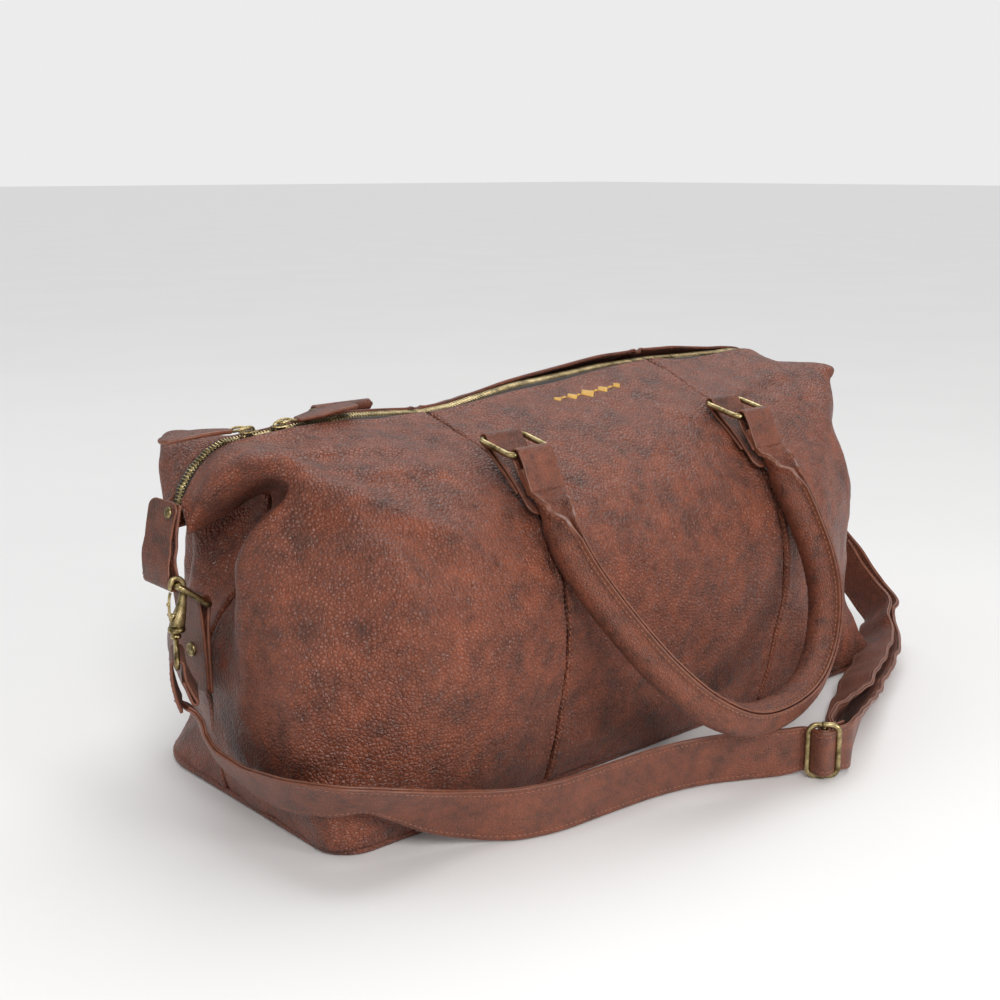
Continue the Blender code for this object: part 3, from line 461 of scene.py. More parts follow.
def brass(build, name, body, *nodes):
    """Finishes a brass fitting and puts it on a body, in place of CAD nodes."""
    put(outward_normals(build.make(name, [BRASS])), body, nodes)


def sewn(build, name, looks, body, slot, *nodes):
    """Finishes a piece made of leather strips and puts it on a body, in place of CAD nodes."""
    put(weld(build.make(name, looks)), body, nodes)


def grid_piece(name, grid, looks, thickness=None, flip=False):
    """A sheet over a grid of points, thickened on its inner side."""
    build = Build()
    index = build.net(grid)
    build.quads(index[:, ::-1] if flip else index)
    made = build.make(name, looks)
    if thickness:
        thick = made.modifiers.new("thickness", "SOLIDIFY")
        thick.thickness = thickness
        thick.offset = -1.0
    return made


def grid_normals(grid):
    du = np.gradient(grid, axis=0)
    dv = np.gradient(grid, axis=1)
    return unit(np.cross(du, dv))


def tube(build, line, radius, sides=10, cyclic=False, look=0, flat=1.0, up=None, shape=None):
    """A round or oval tube along the line. radius may be one number or one per point."""
    line = np.asarray(line, float)
    along = tangents(line, cyclic)
    if up is None:
        guess = np.array((0, 0, 1.0)) if abs(along[0][2]) < 0.9 else np.array((1.0, 0, 0))
        normal = np.zeros_like(line)
        current = unit(np.cross(np.cross(along[0], guess), along[0]))
        for i, t in enumerate(along):
            current = unit(current - t * current.dot(t))
            normal[i] = current
    else:
        up = np.broadcast_to(np.asarray(up, float), line.shape)
        normal = unit(up - along * np.sum(up * along, axis=1, keepdims=True))
    side = np.cross(along, normal)
    radius = np.broadcast_to(np.asarray(radius, float).reshape(-1, 1), (len(line), 1))
    if shape is None:
        turn = np.linspace(0, 2 * math.pi, sides, endpoint=False)
        shape = np.stack([np.cos(turn), np.sin(turn) * flat], axis=1)
    shape = np.asarray(shape, float)
    rings = (line[:, None] + side[:, None] * (shape[:, 0] * radius)[..., None]
             + normal[:, None] * (shape[:, 1] * radius)[..., None])
    build.loft(rings, look, cyclic)


def stitches(build, line, normals, length=0.0026, gap=0.0011, radius=0.00036, look=0, sink=0.00012):
    """Short threads laid on a line, each dipping into the leather at both ends."""
    line = np.asarray(line, float)
    normals = np.broadcast_to(np.asarray(normals, float), line.shape)
    run = run_of(line)
    pitch = length + gap
    sides = 6
    turn = np.linspace(0, 2 * math.pi, sides, endpoint=False)
    for k in range(int(run[-1] / pitch)):
        at = np.linspace(0, 1, 5) * length + k * pitch + gap / 2
        mid = np.stack([np.interp(at, run, line[:, c]) for c in range(3)], axis=1)
        nor = unit(np.stack([np.interp(at, run, normals[:, c]) for c in range(3)], axis=1))
        lift = np.array((-2.2, -0.1, 0.35, -0.1, -2.2)) * radius - sink
        mid = mid + nor * lift[:, None]
        along = tangents(mid)
        side = unit(np.cross(along, nor))
        top = np.cross(side, along)
        size = radius * np.array((0.7, 1.0, 1.05, 1.0, 0.7))
        ring = (mid[:, None] + side[:, None] * (np.cos(turn) * size[:, None])[..., None]
                + top[:, None] * (np.sin(turn) * size[:, None])[..., None])
        build.loft(ring, look)


def round_rectangle(width, height, radius, steps=6):
    outline = []
    for quarter, (sx, sy) in enumerate(((1, 1), (-1, 1), (-1, -1), (1, -1))):
        for step in range(steps + 1):
            angle = math.pi / 2 * (quarter + step / steps)
            outline.append((sx * (width / 2 - radius) + radius * math.cos(angle),
                            sy * (height / 2 - radius) + radius * math.sin(angle)))
    return np.array(outline)


def ring_line(centre, across, along, width, height, radius):
    outline = round_rectangle(width, height, radius)
    line = np.asarray(centre) + outline[:, :1] * np.asarray(across) + outline[:, 1:] * np.asarray(along)
    closed = np.vstack([line, line[:1]])
    return resample(closed, 0.0012)[:-1]


def wire_ring(name, body, node, inner, outer, across, width, radius):
    """A rectangular brass ring between the middles of its inner and outer sides."""
    build = Build()
    across, along = unit(across), unit(outer - inner)
    line = ring_line((inner + outer) / 2, across, along, width, np.linalg.norm(outer - inner), radius)
    tube(build, line, WIRE_R, 14, True, up=np.cross(across, along))
    brass(build, name, body, node)


def border(distance):
    """Height of a stitched border: a ridge at the edge, a stitched groove, and a softer ridge inside."""
    return (0.00045 * np.exp(-((distance - 0.0012) / 0.0006) ** 2)
            - 0.00035 * np.exp(-((distance - 0.0027) / 0.0006) ** 2)
            + 0.00035 * np.exp(-((distance - 0.0042) / 0.0009) ** 2))


def no_border(distance):
    return 0.0 * distance


# A strip's rows near an edge: at these shares of half its thickness from it, and at these distances.
ROUND_EDGE = (0.0, 0.12, 0.35, 0.7, 1.1, 1.8)
NEAR_EDGE = [0.0021, 0.0027, 0.0033, 0.0042, 0.0052]
FIRST_COLUMNS = 30                      # its points across, before they are spread out again
STRIP_COLUMNS = 31


class Strip:
    """A flat leather strip along a path, with round edges, round ends and a stitched border."""

    def __init__(self, path, sides, half_w, thickness, start_r=None, end_r=None, height=border):
        self.path = np.asarray(path, float)
        along = tangents(self.path)
        sides = np.broadcast_to(np.asarray(sides, float), self.path.shape)
        self.normal = unit(np.cross(along, sides))
        self.side = np.cross(self.normal, along)
        self.run = run_of(self.path)
        self.half_w = half_w
        self.t = thickness
        self.r = (start_r, end_r)
        self.height = height

    def width_at(self, s):
        w = np.interp(s, self.run, self.half_w) if np.ndim(self.half_w) else self.half_w
        for r, d in ((self.r[0], s), (self.r[1], self.run[-1] - s)):
            if r and d < r:
                w = w - r + math.sqrt(max(0.0, r * r - (r - d) ** 2))
        return w

    def inset(self, s, t):
        w = np.interp(s, self.run, self.half_w) if np.ndim(self.half_w) else self.half_w
        d = w - abs(t)
        for r, e in ((self.r[0], s), (self.r[1], self.run[-1] - s)):
            if r is None:
                continue
            if e < r and abs(t) > w - r:
                d = min(d, r - math.hypot(r - e, abs(t) - (w - r)))
            else:
                d = min(d, e)
        return max(0.0, d)

    def frame_at(self, s):
        def take(a):
            return np.array([np.interp(s, self.run, a[:, c]) for c in range(3)])

        return take(self.path), unit(take(self.side)), unit(take(self.normal))

    def top(self, s, t, lift=0.0):
        centre, side, normal = self.frame_at(s)
        return centre + side * t + normal * (self.t / 2 + float(self.height(self.inset(s, t))) + lift), normal

    def build(self, build, look=0, edge=1, step=0.0012):
        half = self.t / 2
        total = self.run[-1]
        near = [share * half for share in ROUND_EDGE] + NEAR_EDGE
        stations = list(np.linspace(0, total, max(8, int(total / step))))
        if self.r[0] is not None:
            stations += near
        if self.r[1] is not None:
            stations += [total - d for d in near]
        stations = sorted({round(min(max(s, 0.0), total), 6) for s in stations})
        tops, bottoms, insets = [], [], []
        for s in stations:
            w = self.width_at(s)
            inner = [d for d in near if d < w * 0.85]
            left = [-(w - d) for d in inner]
            middle = np.linspace(left[-1], -left[-1], FIRST_COLUMNS - 2 * len(inner) + 2)[1:-1]
            across = left + list(middle) + [-v for v in reversed(left)]
            across = np.interp(np.linspace(0, 1, STRIP_COLUMNS), np.linspace(0, 1, FIRST_COLUMNS), across)
            centre, side, normal = self.frame_at(s)
            row_t, row_b, row_d = [], [], []
            for t in across:
                d = self.inset(s, t)
                share = min(1.0, d / half)
                body = half * math.sqrt(max(0.0, 1 - (1 - share) ** 2))
                rise = float(self.height(d)) * min(1.0, d / 0.0006)
                base = centre + side * t
                row_t.append(base + normal * (body + rise))
                row_b.append(base - normal * body)
                row_d.append(d)
            tops.append(row_t)
            bottoms.append(row_b)
            insets.append(row_d)
        tops, bottoms, insets = np.array(tops), np.array(bottoms), np.array(insets)
        index_t, index_b = build.net(tops), build.net(bottoms)
        looks = np.where((insets[:-1, :-1] + insets[1:, 1:]) / 2 < 0.75 * half, edge, look)
        build.quads(index_t, looks)
        build.quads(index_b[:, ::-1], looks[:, ::-1])
        for a, b in ((0, 1), (-1, -1)):
            line_t, line_b = index_t[:, a], index_b[:, a]
            build.quads(np.stack([line_t, line_b])[::b], edge)
            line_t, line_b = index_t[a], index_b[a]
            build.quads(np.stack([line_t, line_b])[::-b], edge)
        return self

    def seam(self, build, inset, look=2, start=0.0, end=None, closed_start=False, **style):
        """Rows of stitches at one distance from the edge, on the top side."""
        end = self.run[-1] if end is None else end
        for sign in (-1, 1):
            pts, nrm = [], []
            for s in np.arange(start, end, 0.0008):
                p, n = self.top(s, sign * max(0.0, self.width_at(s) - inset))
                pts.append(p)
                nrm.append(n)
            if len(pts) > 4:
                stitches(build, pts, nrm, look=look, **style)
        if closed_start:
            w = self.width_at(start) - inset * 1.3
            self.cross_row(build, start, w, 24, look, **style)

    def cross_row(self, build, at, half, count, look=2, **style):
        """A row of stitches across the strip."""
        pairs = [self.top(at, t) for t in np.linspace(-half, half, count)]
        stitches(build, [p for p, _ in pairs], [n for _, n in pairs], look=look, **style)


def arc(centre, radius, start, end, count=12):
    angles = np.radians(np.linspace(start, end, count))
    return [(centre[0] + radius * math.cos(a), centre[1] + radius * math.sin(a)) for a in angles]


def weld(obj):
    """Joins the points of a strip that fall together, so that it is one closed skin."""
    outward_normals(obj, 0.00002)
    for polygon in obj.data.polygons:
        polygon.use_smooth = True
    return obj


# ---- body skin ----------------------------------------------------------------------------------
# Half cross-section at a seam: distance from the middle and height, from the base to the lip.
SECTION = np.array([(0.1245, 0.0048), (0.1325, 0.0300), (0.1385, 0.0620), (0.1440, 0.0940), (0.1440, 0.1250),
                    (0.1360, 0.1560), (0.1180, 0.1830), (0.1075, 0.1930), (0.0960, 0.2025), (0.0815, 0.2115),
                    (0.0660, 0.2200), (0.0360, 0.2315), (LIP, ZIP_MID_Z)])
# Columns of the bag's end, from the corner where the leather folds in to the seam in its middle:
# distance out, distance from the middle, height. They go up the end, into the fold, back out under the
# wing, over its edge and up to the zip.
END_COLUMNS = np.array([
    [(0.2690, 0.1180, 0.0048), (0.2755, 0.1170, 0.0300), (0.2790, 0.1150, 0.0620), (0.2790, 0.1090, 0.0940),
     (0.2755, 0.0990, 0.1250), (0.2700, 0.0880, 0.1540), (0.2620, 0.0765, 0.1820), (0.2555, 0.0690, 0.1990),
     (0.2515, 0.0635, 0.2110), (0.2510, 0.0585, 0.2205), (0.2525, 0.0510, 0.2275), (0.2540, 0.0300, 0.2300),
     (0.2540, LIP, 0.2315)],
    [(0.2705, 0.0820, 0.0048), (0.2800, 0.0840, 0.0300), (0.2855, 0.0830, 0.0620), (0.2880, 0.0790, 0.0940),
     (0.2865, 0.0730, 0.1220), (0.2835, 0.0660, 0.1520), (0.2770, 0.0590, 0.1850), (0.2660, 0.0560, 0.1990),
     (0.2500, 0.0510, 0.2080), (0.2635, 0.0545, 0.2190), (0.2715, 0.0560, 0.2290), (0.2690, 0.0320, 0.2310),
     (0.2670, LIP, 0.2285)],
    [(0.2705, 0.0480, 0.0048), (0.2805, 0.0500, 0.0300), (0.2865, 0.0520, 0.0620), (0.2895, 0.0530, 0.0940),
     (0.2885, 0.0500, 0.1220), (0.2850, 0.0465, 0.1480), (0.2800, 0.0430, 0.1720), (0.2530, 0.0360, 0.1900),
     (0.2420, 0.0310, 0.2050), (0.2720, 0.0385, 0.2120), (0.2835, 0.0420, 0.2225), (0.2800, 0.0240, 0.2255),
     (0.2780, LIP, 0.2225)],
    [(0.2705, 0.0220, 0.0048), (0.2785, 0.0230, 0.0300), (0.2830, 0.0240, 0.0620), (0.2850, 0.0250, 0.0940),
     (0.2760, 0.0250, 0.1190), (0.2620, 0.0225, 0.1410), (0.2500, 0.0200, 0.1600), (0.2400, 0.0180, 0.1820),
     (0.2400, 0.0165, 0.2000), (0.2840, 0.0220, 0.1975), (0.2925, 0.0255, 0.2065), (0.2900, 0.0150, 0.2120),
     (0.2885, LIP, 0.2110)],
    [(0.2705, 0.0003, 0.0048), (0.2770, 0.0003, 0.0300), (0.2805, 0.0003, 0.0620), (0.2822, 0.0003, 0.0940),
     (0.2725, 0.0003, 0.1180), (0.2560, 0.0003, 0.1380), (0.2440, 0.0003, 0.1560), (0.2350, 0.0003, 0.1760),
     (0.2350, 0.0003, 0.1930), (0.2850, 0.0060, 0.1800), (0.2960, 0.0125, 0.1800), (0.2985, 0.0110, 0.1890),
     (0.2970, LIP, 0.1965)]])
# The feet of the end columns at the slumped corner: distance out and distance from the middle.
SLUMPED_FOOT = ((0.2520, 0.0990), (0.2660, 0.0790), (0.2703, 0.0480), (0.2705, 0.0220), (0.2705, 0.0003))
COLUMN_SHARE = (1.0, 0.78, 0.5, 0.24, 0.0)      # how much of a corner's slack each of them takes
SLACK_BACK = np.array([0.004, 0.009, 0.014, 0.016, 0.017, 0.013, 0.007, 0.004, 0.002, 0.0, 0.0, 0.0, 0.0])
SLACK = {("front", "left"): 0 * SLACK_BACK,
         ("back", "left"): np.array([0.017, 0.043, 0.029, 0.029, 0.040, 0.042, 0.034, 0.014, 0.005, 0.0, 0.0,
                                     0.0, 0.0]),
         ("front", "right"): np.array([0.002, 0.022, 0.040, 0.039, 0.036, 0.026, 0.010, -0.006, -0.012, -0.012,
                                       -0.006, 0.0, 0.0]),
         ("back", "right"): SLACK_BACK}
SUNK_FRONT_RIGHT = np.array([0.002, 0.012, 0.030, 0.035, 0.036, 0.030, 0.020, 0.014, 0.009, 0.005, 0.002, 0.0,
                             0.0])
SUNK_BACK_LEFT = np.array([0.0145, 0.022, 0.030, 0.034, 0.034, 0.030, 0.020, 0.014, 0.008, 0.004, 0.002, 0.0,
                           0.0])
SLUMP_CENTRE = (-0.211, 0.055)          # the base's back left corner has slumped into a wide curve
SLUMP_R = 0.060
SLUMP_START_X = -0.120
# How much higher the back wall's rows stand than the front's near the zip, and how far the front lip sags
# between the seams.
BACK_RISE = np.array([0, 0, 0, 0, 0, 0, 0, 0, 0.001, 0.002, 0.0032, 0.0048, 0.0058])
FRONT_SAG = np.array([0, 0, 0, 0, 0, 0, 0, 0, 0, 0, 0.0006, 0.0014, 0.0030])
RIGHT_EAR_RISE = 0.004
ZIP_RUN = (-0.262, 0.215)               # the zip's straight course, between its bent ends
ZIP_HALF = 0.2972
# How far the zip line waves above or below its straight course.
WAVE = [(-0.262, 0.0), (-0.244, 0.0), (-0.214, 0.0014), (-0.168, 0.0024), (-0.135, -0.001), (-0.110, -0.0040),
        (-0.084, -0.0037), (-0.057, -0.0004), (-0.024, 0.0029), (0.021, 0.0043), (0.062, 0.0059),
        (0.117, 0.0052), (0.160, 0.0024), (0.200, 0.0), (0.250, 0.0)]
ZIP_ENDS = {-1: [(-0.2972, 0.1950), (-0.2935, 0.2065), (-0.2860, 0.2170), (-0.2745, 0.2265), (-0.262, 0.2318)],
            1: [(0.215, 0.2489), (0.232, 0.2470), (0.243, 0.2425), (0.254, 0.2370), (0.267, 0.2330),
                (0.278, 0.2270), (0.2885, 0.2158), (0.2945, 0.2060), (0.2972, 0.1955)]}


def wave(x):
    return float(np.interp(x, [p[0] for p in WAVE], [p[1] for p in WAVE]))


def zip_z(x):
    """Height of the zip along the bag."""
    if x < ZIP_RUN[0]:
        line = ZIP_ENDS[-1]
    elif x > ZIP_RUN[1]:
        line = ZIP_ENDS[1]
    else:
        return ZIP_MID_Z + ZIP_SLOPE * x + wave(x)
    return float(np.interp(x, [p[0] for p in line], [p[1] for p in line]))


def sag_at(x):
    """The front lip sags between its stiff seams."""
    if abs(x) < SEAM_X:
        return math.sin(math.pi * (x + SEAM_X) / (2 * SEAM_X)) ** 2
    return math.sin(math.pi * min(1.0, (abs(x) - SEAM_X) / 0.11)) ** 2


def wall_row(x, side, row):
    y, z = SECTION[row]
    rise = max(0.0, (z - 0.18) / (ZIP_MID_Z - 0.18))
    z = z + (zip_z(x) - ZIP_MID_Z) * rise
    reach = max(0.0, abs(x) - SEAM_X) / (CORNER_X - SEAM_X)
    belly = math.sin(math.pi * min(1.0, reach)) * math.sin(math.pi * min(1.0, z / 0.2))
    if side < 0 and x > SEAM_X:
        y -= SUNK_FRONT_RIGHT[row] * min(1.0, reach) ** 1.6
    if side > 0 and x < -SEAM_X:
        y -= SUNK_BACK_LEFT[row] * min(1.0, reach) ** 1.6
    ease = float(np.interp(abs(x), (0.15, 0.232), (1.0, 0.0)))
    if side > 0:
        z += BACK_RISE[row] * ease * float(np.interp(x, (-0.06, 0.07), (0.15, 1.0)))
    else:
        z -= FRONT_SAG[row] * (0.35 + sag_at(x)) * ease
    bulge = 0.011 if (side < 0 and x < 0) else 0.006
    return (x, y + bulge * belly, z)


def end_net(side, end):
    """Control columns from the seam round the corner to the middle of the end, with y as the distance."""
    word = "front" if side < 0 else "back", "left" if end < 0 else "right"
    columns = []
    for x in (SEAM_X + 0.0002, 0.118, 0.130, 0.150, 0.172, 0.194, 0.214, 0.232):
        columns.append([wall_row(end * x, side, row) for row in range(len(SECTION))])
    for column, share in zip(END_COLUMNS, COLUMN_SHARE):
        made = column.copy()
        slack = SLACK[word] * share
        made[:, 0] -= slack
        made[:, 1] = np.maximum(made[:, 1] - 0.3 * slack, made[:, 1] * 0.5)
        if word == ("back", "left"):
            made[0, :2] = SLUMPED_FOOT[len(columns) - 8]
        if end > 0:
            rise = RIGHT_EAR_RISE * np.array([0, 0, 0, 0, 0, 0, 0.2, 0.6, 0.9, 1.0, 1.3, 1.4, 1.2])
            made[:, 2] += rise * (1 if share > 0.1 else 0)
        made[:, 0] *= end
        columns.append([tuple(p) for p in made])
    return np.array(columns)


def refine(net, per_column, per_row):
    """A smooth sheet through a net of points."""
    wide = spline(net, per_column)
    return spline(wide.transpose(1, 0, 2), per_row).transpose(1, 0, 2)


def relax(grid, rounds):
    """Smooths a grid. Its first and last rows stay where they are."""
    for _ in range(rounds):
        mid = grid.copy()
        mid[1:-1, 1:-1] = (grid[1:-1, 1:-1] * 0.4 + 0.15 * (grid[:-2, 1:-1] + grid[2:, 1:-1]
                                                            + grid[1:-1, :-2] + grid[1:-1, 2:]))
        mid[1:-1, 0] = grid[1:-1, 0] * 0.5 + 0.25 * (grid[:-2, 0] + grid[2:, 0])
        mid[1:-1, -1] = grid[1:-1, -1] * 0.5 + 0.25 * (grid[:-2, -1] + grid[2:, -1])
        grid = mid
    return grid


def even(grid, rows):
    """Resamples every column of a grid to evenly spaced points."""
    return np.array([resample(column, 0.002, rows) for column in grid])


def fbm(points, scale, seed):
    """Unevenness at each point of a grid."""
    shift = Vector((seed * 3.1, seed * 1.7, seed * 2.3))
    flat = points.reshape(-1, 3)
    values = [noise.fractal(Vector(p) * scale + shift, 0.8, 2.1, 3) for p in flat]
    return np.array(values).reshape(points.shape[:2])


# Soft folds: a line through places on the skin, how high it stands, how wide it is, and whether it has a
# hollow on its lower side.
FOLDS = [
    ([(-0.252, -0.063, 0.2125), (-0.228, -0.088, 0.2060), (-0.200, -0.1120, 0.1930), (-0.178, -0.1270, 0.1770),
      (-0.165, -0.1380, 0.1600)], 0.0050, 0.0100, 0.6),
    ([(-0.262, -0.030, 0.2300), (-0.225, -0.040, 0.2255), (-0.185, -0.050, 0.2215), (-0.140, -0.058, 0.2190)],
     0.0016, 0.0060, 0.5),
    ([(-0.272, -0.045, 0.2330), (-0.235, -0.062, 0.2235), (-0.190, -0.075, 0.2155), (-0.135, -0.080, 0.2120)],
     0.0018, 0.0070, 0.5),
    ([(-0.150, -0.020, 0.2370), (-0.120, -0.040, 0.2300), (-0.105, -0.062, 0.2220)], 0.0018, 0.0055, 0.5),
    ([(0.110, -0.075, 0.2180), (0.145, -0.060, 0.2240), (0.190, -0.050, 0.2290), (0.240, -0.045, 0.2330)],
     0.0018, 0.0080, 0.5),
    ([(0.060, -0.060, 0.2250), (0.085, -0.085, 0.2120), (0.100, -0.105, 0.1980)], 0.0016, 0.0080, 0.4),
    ([(-0.100, -0.075, 0.2160), (-0.075, -0.095, 0.2060), (-0.050, -0.115, 0.1900)], 0.0016, 0.0090, 0.4),
    ([(-0.283, -0.052, 0.1300), (-0.262, -0.100, 0.1000), (-0.240, -0.135, 0.0600)], 0.0020, 0.0160, 0.4),
    ([(0.244, -0.090, 0.1650), (0.215, -0.110, 0.1300), (0.200, -0.118, 0.0900)], 0.0020, 0.0140, 0.4),
    ([(0.262, -0.062, 0.2250), (0.232, -0.085, 0.2080), (0.205, -0.105, 0.1880)], 0.0030, 0.0100, 0.5),
    ([(-0.255, 0.065, 0.2120), (-0.215, 0.095, 0.2020), (-0.180, 0.120, 0.1800)], 0.0035, 0.0110, 0.5),
    ([(0.255, 0.065, 0.2170), (0.215, 0.095, 0.2050), (0.175, 0.122, 0.1800)], 0.0035, 0.0110, 0.5),
    ([(-0.120, 0.143, 0.1300), (-0.175, 0.150, 0.1050), (-0.240, 0.135, 0.0850)], 0.0018, 0.0150, 0.4),
    ([(0.120, 0.143, 0.1200), (0.175, 0.150, 0.0950), (0.240, 0.135, 0.0750)], 0.0018, 0.0150, 0.4),
    ([(-0.060, 0.130, 0.1650), (0.000, 0.139, 0.1480), (0.060, 0.133, 0.1600)], 0.0014, 0.0130, 0.4),
]


def folded(points):
    """Height that the soft folds add at each point of a grid."""
    flat = points.reshape(-1, 3)
    total = np.zeros(len(flat))
    for line, height, width, hollow in FOLDS:
        line = smooth_line(line, 0.006)
        run = np.linspace(0, 1, len(line))
        near = np.full(len(flat), 1e9)
        along = np.zeros(len(flat))
        below = np.zeros(len(flat))
        for i in range(len(line) - 1):
            a, b = line[i], line[i + 1]
            d = b - a
            t = np.clip((flat - a) @ d / (d @ d), 0, 1)
            gap = flat - (a + t[:, None] * d)
            far = np.linalg.norm(gap, axis=1)
            closer = far < near
            near = np.where(closer, far, near)
            along = np.where(closer, run[i] + t * (run[i + 1] - run[i]), along)
            below = np.where(closer, gap[:, 2], below)
        fade = np.sin(np.pi * np.clip(0.12 + 0.88 * along, 0, 1)) ** 0.7
        ridge = np.exp(-(near / width) ** 2)
        low = np.exp(-((near - 1.6 * width) / (1.1 * width)) ** 2) * (below < 0)
        total += height * fade * (ridge - hollow * low)
    return total.reshape(points.shape[:2])


def edge_distance(grid, column):
    """Distance of each point from one of the grid's end columns, along its row."""
    steps = np.linalg.norm(np.diff(grid, axis=0), axis=2)
    run = np.concatenate([np.zeros((1, grid.shape[1])), np.cumsum(steps, axis=0)])
    return run if column == 0 else run[-1] - run


def lip_distance(grid):
    """Distance of each point from the lip beside the zip, along its column."""
    return edge_distance(grid.transpose(1, 0, 2), -1).T


def seam_dip(distance):
    """A sewn seam: the leather dives at the seam, swells beside it and is drawn down by the stitches."""
    return (-0.0026 * np.exp(-(distance / 0.0013) ** 2) + 0.0006 * np.exp(-((distance - 0.0040) / 0.0020) ** 2)
            - 0.0004 * np.exp(-((distance - 0.0026) / 0.0005) ** 2))


def lip_shape(distance):
    return (0.0007 * np.exp(-((distance - 0.0022) / 0.0014) ** 2)
            - 0.0006 * np.exp(-((distance - 0.0050) / 0.0007) ** 2)
            + 0.0004 * np.exp(-((distance - 0.0068) / 0.0012) ** 2))


def dress(grid, seed, flip):
    """Adds seams, lip, folds and unevenness to a skin grid, and returns it with its normals."""
    normal = grid_normals(grid) * (-1 if flip else 1)
    lift = np.zeros(grid.shape[:2])
    for column in (0, -1):
        lift += seam_dip(edge_distance(grid, column))
    lift += lip_shape(lip_distance(grid))
    lift += folded(grid)
    calm = np.clip(lip_distance(grid) / 0.03, 0.0, 1.0)
    lift += 0.0022 * fbm(grid, 14.0, seed) * calm + 0.0007 * fbm(grid, 45.0, seed + 5) * calm
    pucker = np.sin(grid[..., 2] / 0.0037 * 2 * math.pi)
    for column in (0, -1):
        d = edge_distance(grid, column)
        lift += 0.00012 * pucker * np.exp(-((d - 0.0034) / 0.0018) ** 2)
    out = grid + normal * lift[..., None]
    return out, grid_normals(out) * (-1 if flip else 1)


def seam_line(grid, normals, column, inset):
    """Points and normals at one distance from an end column."""
    d = edge_distance(grid, column)
    pts, nrm = [], []
    for j in range(grid.shape[1]):
        order = np.argsort(d[:, j])
        pts.append([np.interp(inset, d[order, j], grid[order, j, k]) for k in range(3)])
        nrm.append([np.interp(inset, d[order, j], normals[order, j, k]) for k in range(3)])
    return np.array(pts), unit(np.array(nrm))


def lip_line(grid, normals, inset):
    """Points and normals at one distance from the lip."""
    return seam_line(grid.transpose(1, 0, 2), normals.transpose(1, 0, 2), -1, inset)


SKIN_THICKNESS = 0.0018
CENTRES = {}                            # the centre panels' points and normals, for what is sewn on them


def build_skin():
    for side, face in FACES:
        xs = np.linspace(-SEAM_X + 0.0002, SEAM_X - 0.0002, 12)
        net = np.array([[wall_row(x, side, row) for row in range(len(SECTION))] for x in xs])
        net[..., 1] *= side
        grid = even(refine(net, 10, 8), 130)
        skin, normals = dress(grid, 3 + side, side > 0)
        CENTRES[face] = (skin, normals)
        skin_piece(face + "_centre_skin", skin, normals, side > 0, face + "_panel_centre")
        for end, word in ENDS:
            net = end_net(side, end)
            net[..., 1] *= side
            grid = relax(even(relax(refine(net, 11, 10), 3), 150), 2)
            flip = (side > 0) != (end < 0)
            skin, normals = dress(grid, 9 + 2 * side + end, flip)
            skin_piece(face + "_" + word + "_skin", skin, normals, flip, face + "_panel_" + word)


def skin_piece(name, grid, normals, flip, node):
    """One leather panel, and the stitches along its seams and its lip."""
    made = grid_piece(name, grid, [BODY], SKIN_THICKNESS, flip)
    put(made, "bag", [node])
    build = Build()
    for column in (0, -1):
        pts, nrm = seam_line(grid, normals, column, 0.0027)
        keep = pts[:, 2] > 0.006
        if column == -1 and "centre" not in name:
            keep &= pts[:, 2] < 0.165
            keep[60:] &= False
        if keep.sum() > 4:
            line = resample(np.hstack([pts[keep], nrm[keep]]), 0.0008)
            stitches(build, line[:, :3], unit(line[:, 3:]))
    pts, nrm = lip_line(grid, normals, 0.0050)
    line = resample(np.hstack([pts, nrm]), 0.0008)
    stitches(build, line[:, :3], unit(line[:, 3:]), length=0.0024)
    put(build.make(name + "_stitching", [THREAD]), "bag")


build_skin()


# ---- base, lining, zip --------------------------------------------------------------------------
def build_base():
    low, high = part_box("base_panel")
    corners = round_rectangle(high.x - low.x, high.y - low.y, 0.024, 10)
    turn = np.linspace(math.pi / 2, math.pi, 14)
    slump = np.array(SLUMP_CENTRE) + SLUMP_R * np.stack([np.cos(turn), np.sin(turn)], axis=1)
    outline = np.vstack([corners[(corners[:, 0] > 0) & (corners[:, 1] > 0)], [(SLUMP_START_X, high.y)], slump,
                         corners[corners[:, 1] < 0]])
    closed = np.vstack([outline, outline[:1]])
    line = resample(np.hstack([closed, np.zeros((len(closed), 1))]), 0.002)[:-1]
    build = Build()
    rings = []
    for inset, z in ((0.030, 0.0), (0.004, 0.0), (0.0012, 0.0004), (0.0, 0.0020), (0.0, 0.0036),
                     (0.0008, 0.0050), (0.004, 0.0054), (0.030, 0.0054)):
        scale = 1 - inset / np.array((high.x, high.y, 1.0))
        rings.append(line * scale + np.array((0, 0, z)))
    build.loft(rings)
    put(outward_normals(build.make("base_leather", [BODY])), "bag", ["base_panel"])


def build_lining():
    rows = [(0.0072, 0.242, 0.100), (0.0300, 0.226, 0.104), (0.0620, 0.222, 0.107), (0.0940, 0.220, 0.106),
            (0.1250, 0.214, 0.102), (0.1560, 0.208, 0.096), (0.1830, 0.202, 0.086), (0.1990, 0.198, 0.076)]
    rows = smooth_line(rows, 0.004)
    grid = []
    for z, half_x, half_y in rows:
        outline = round_rectangle(2 * half_x, 2 * half_y, 0.045, 8)
        ring = resample(np.hstack([np.vstack([outline, outline[:1]]), np.full((len(outline) + 1, 1), z)]), 0.004,
                        200)[:-1]
        grid.append(ring)
    grid = np.array(grid)
    ruck = fbm(grid, 22.0, 31)
    grid[..., :2] *= (1 - 0.012 + 0.012 * ruck)[..., None]
    build = Build()
    index = build.net(grid)
    build.quads(index[:, ::-1], wrap_v=True)
    build.fan(index[0])
    made = build.make("lining_sack", [LINING])
    thick = made.modifiers.new("thickness", "SOLIDIFY")
    thick.thickness = 0.0006
    put(made, "bag", ["lining"])


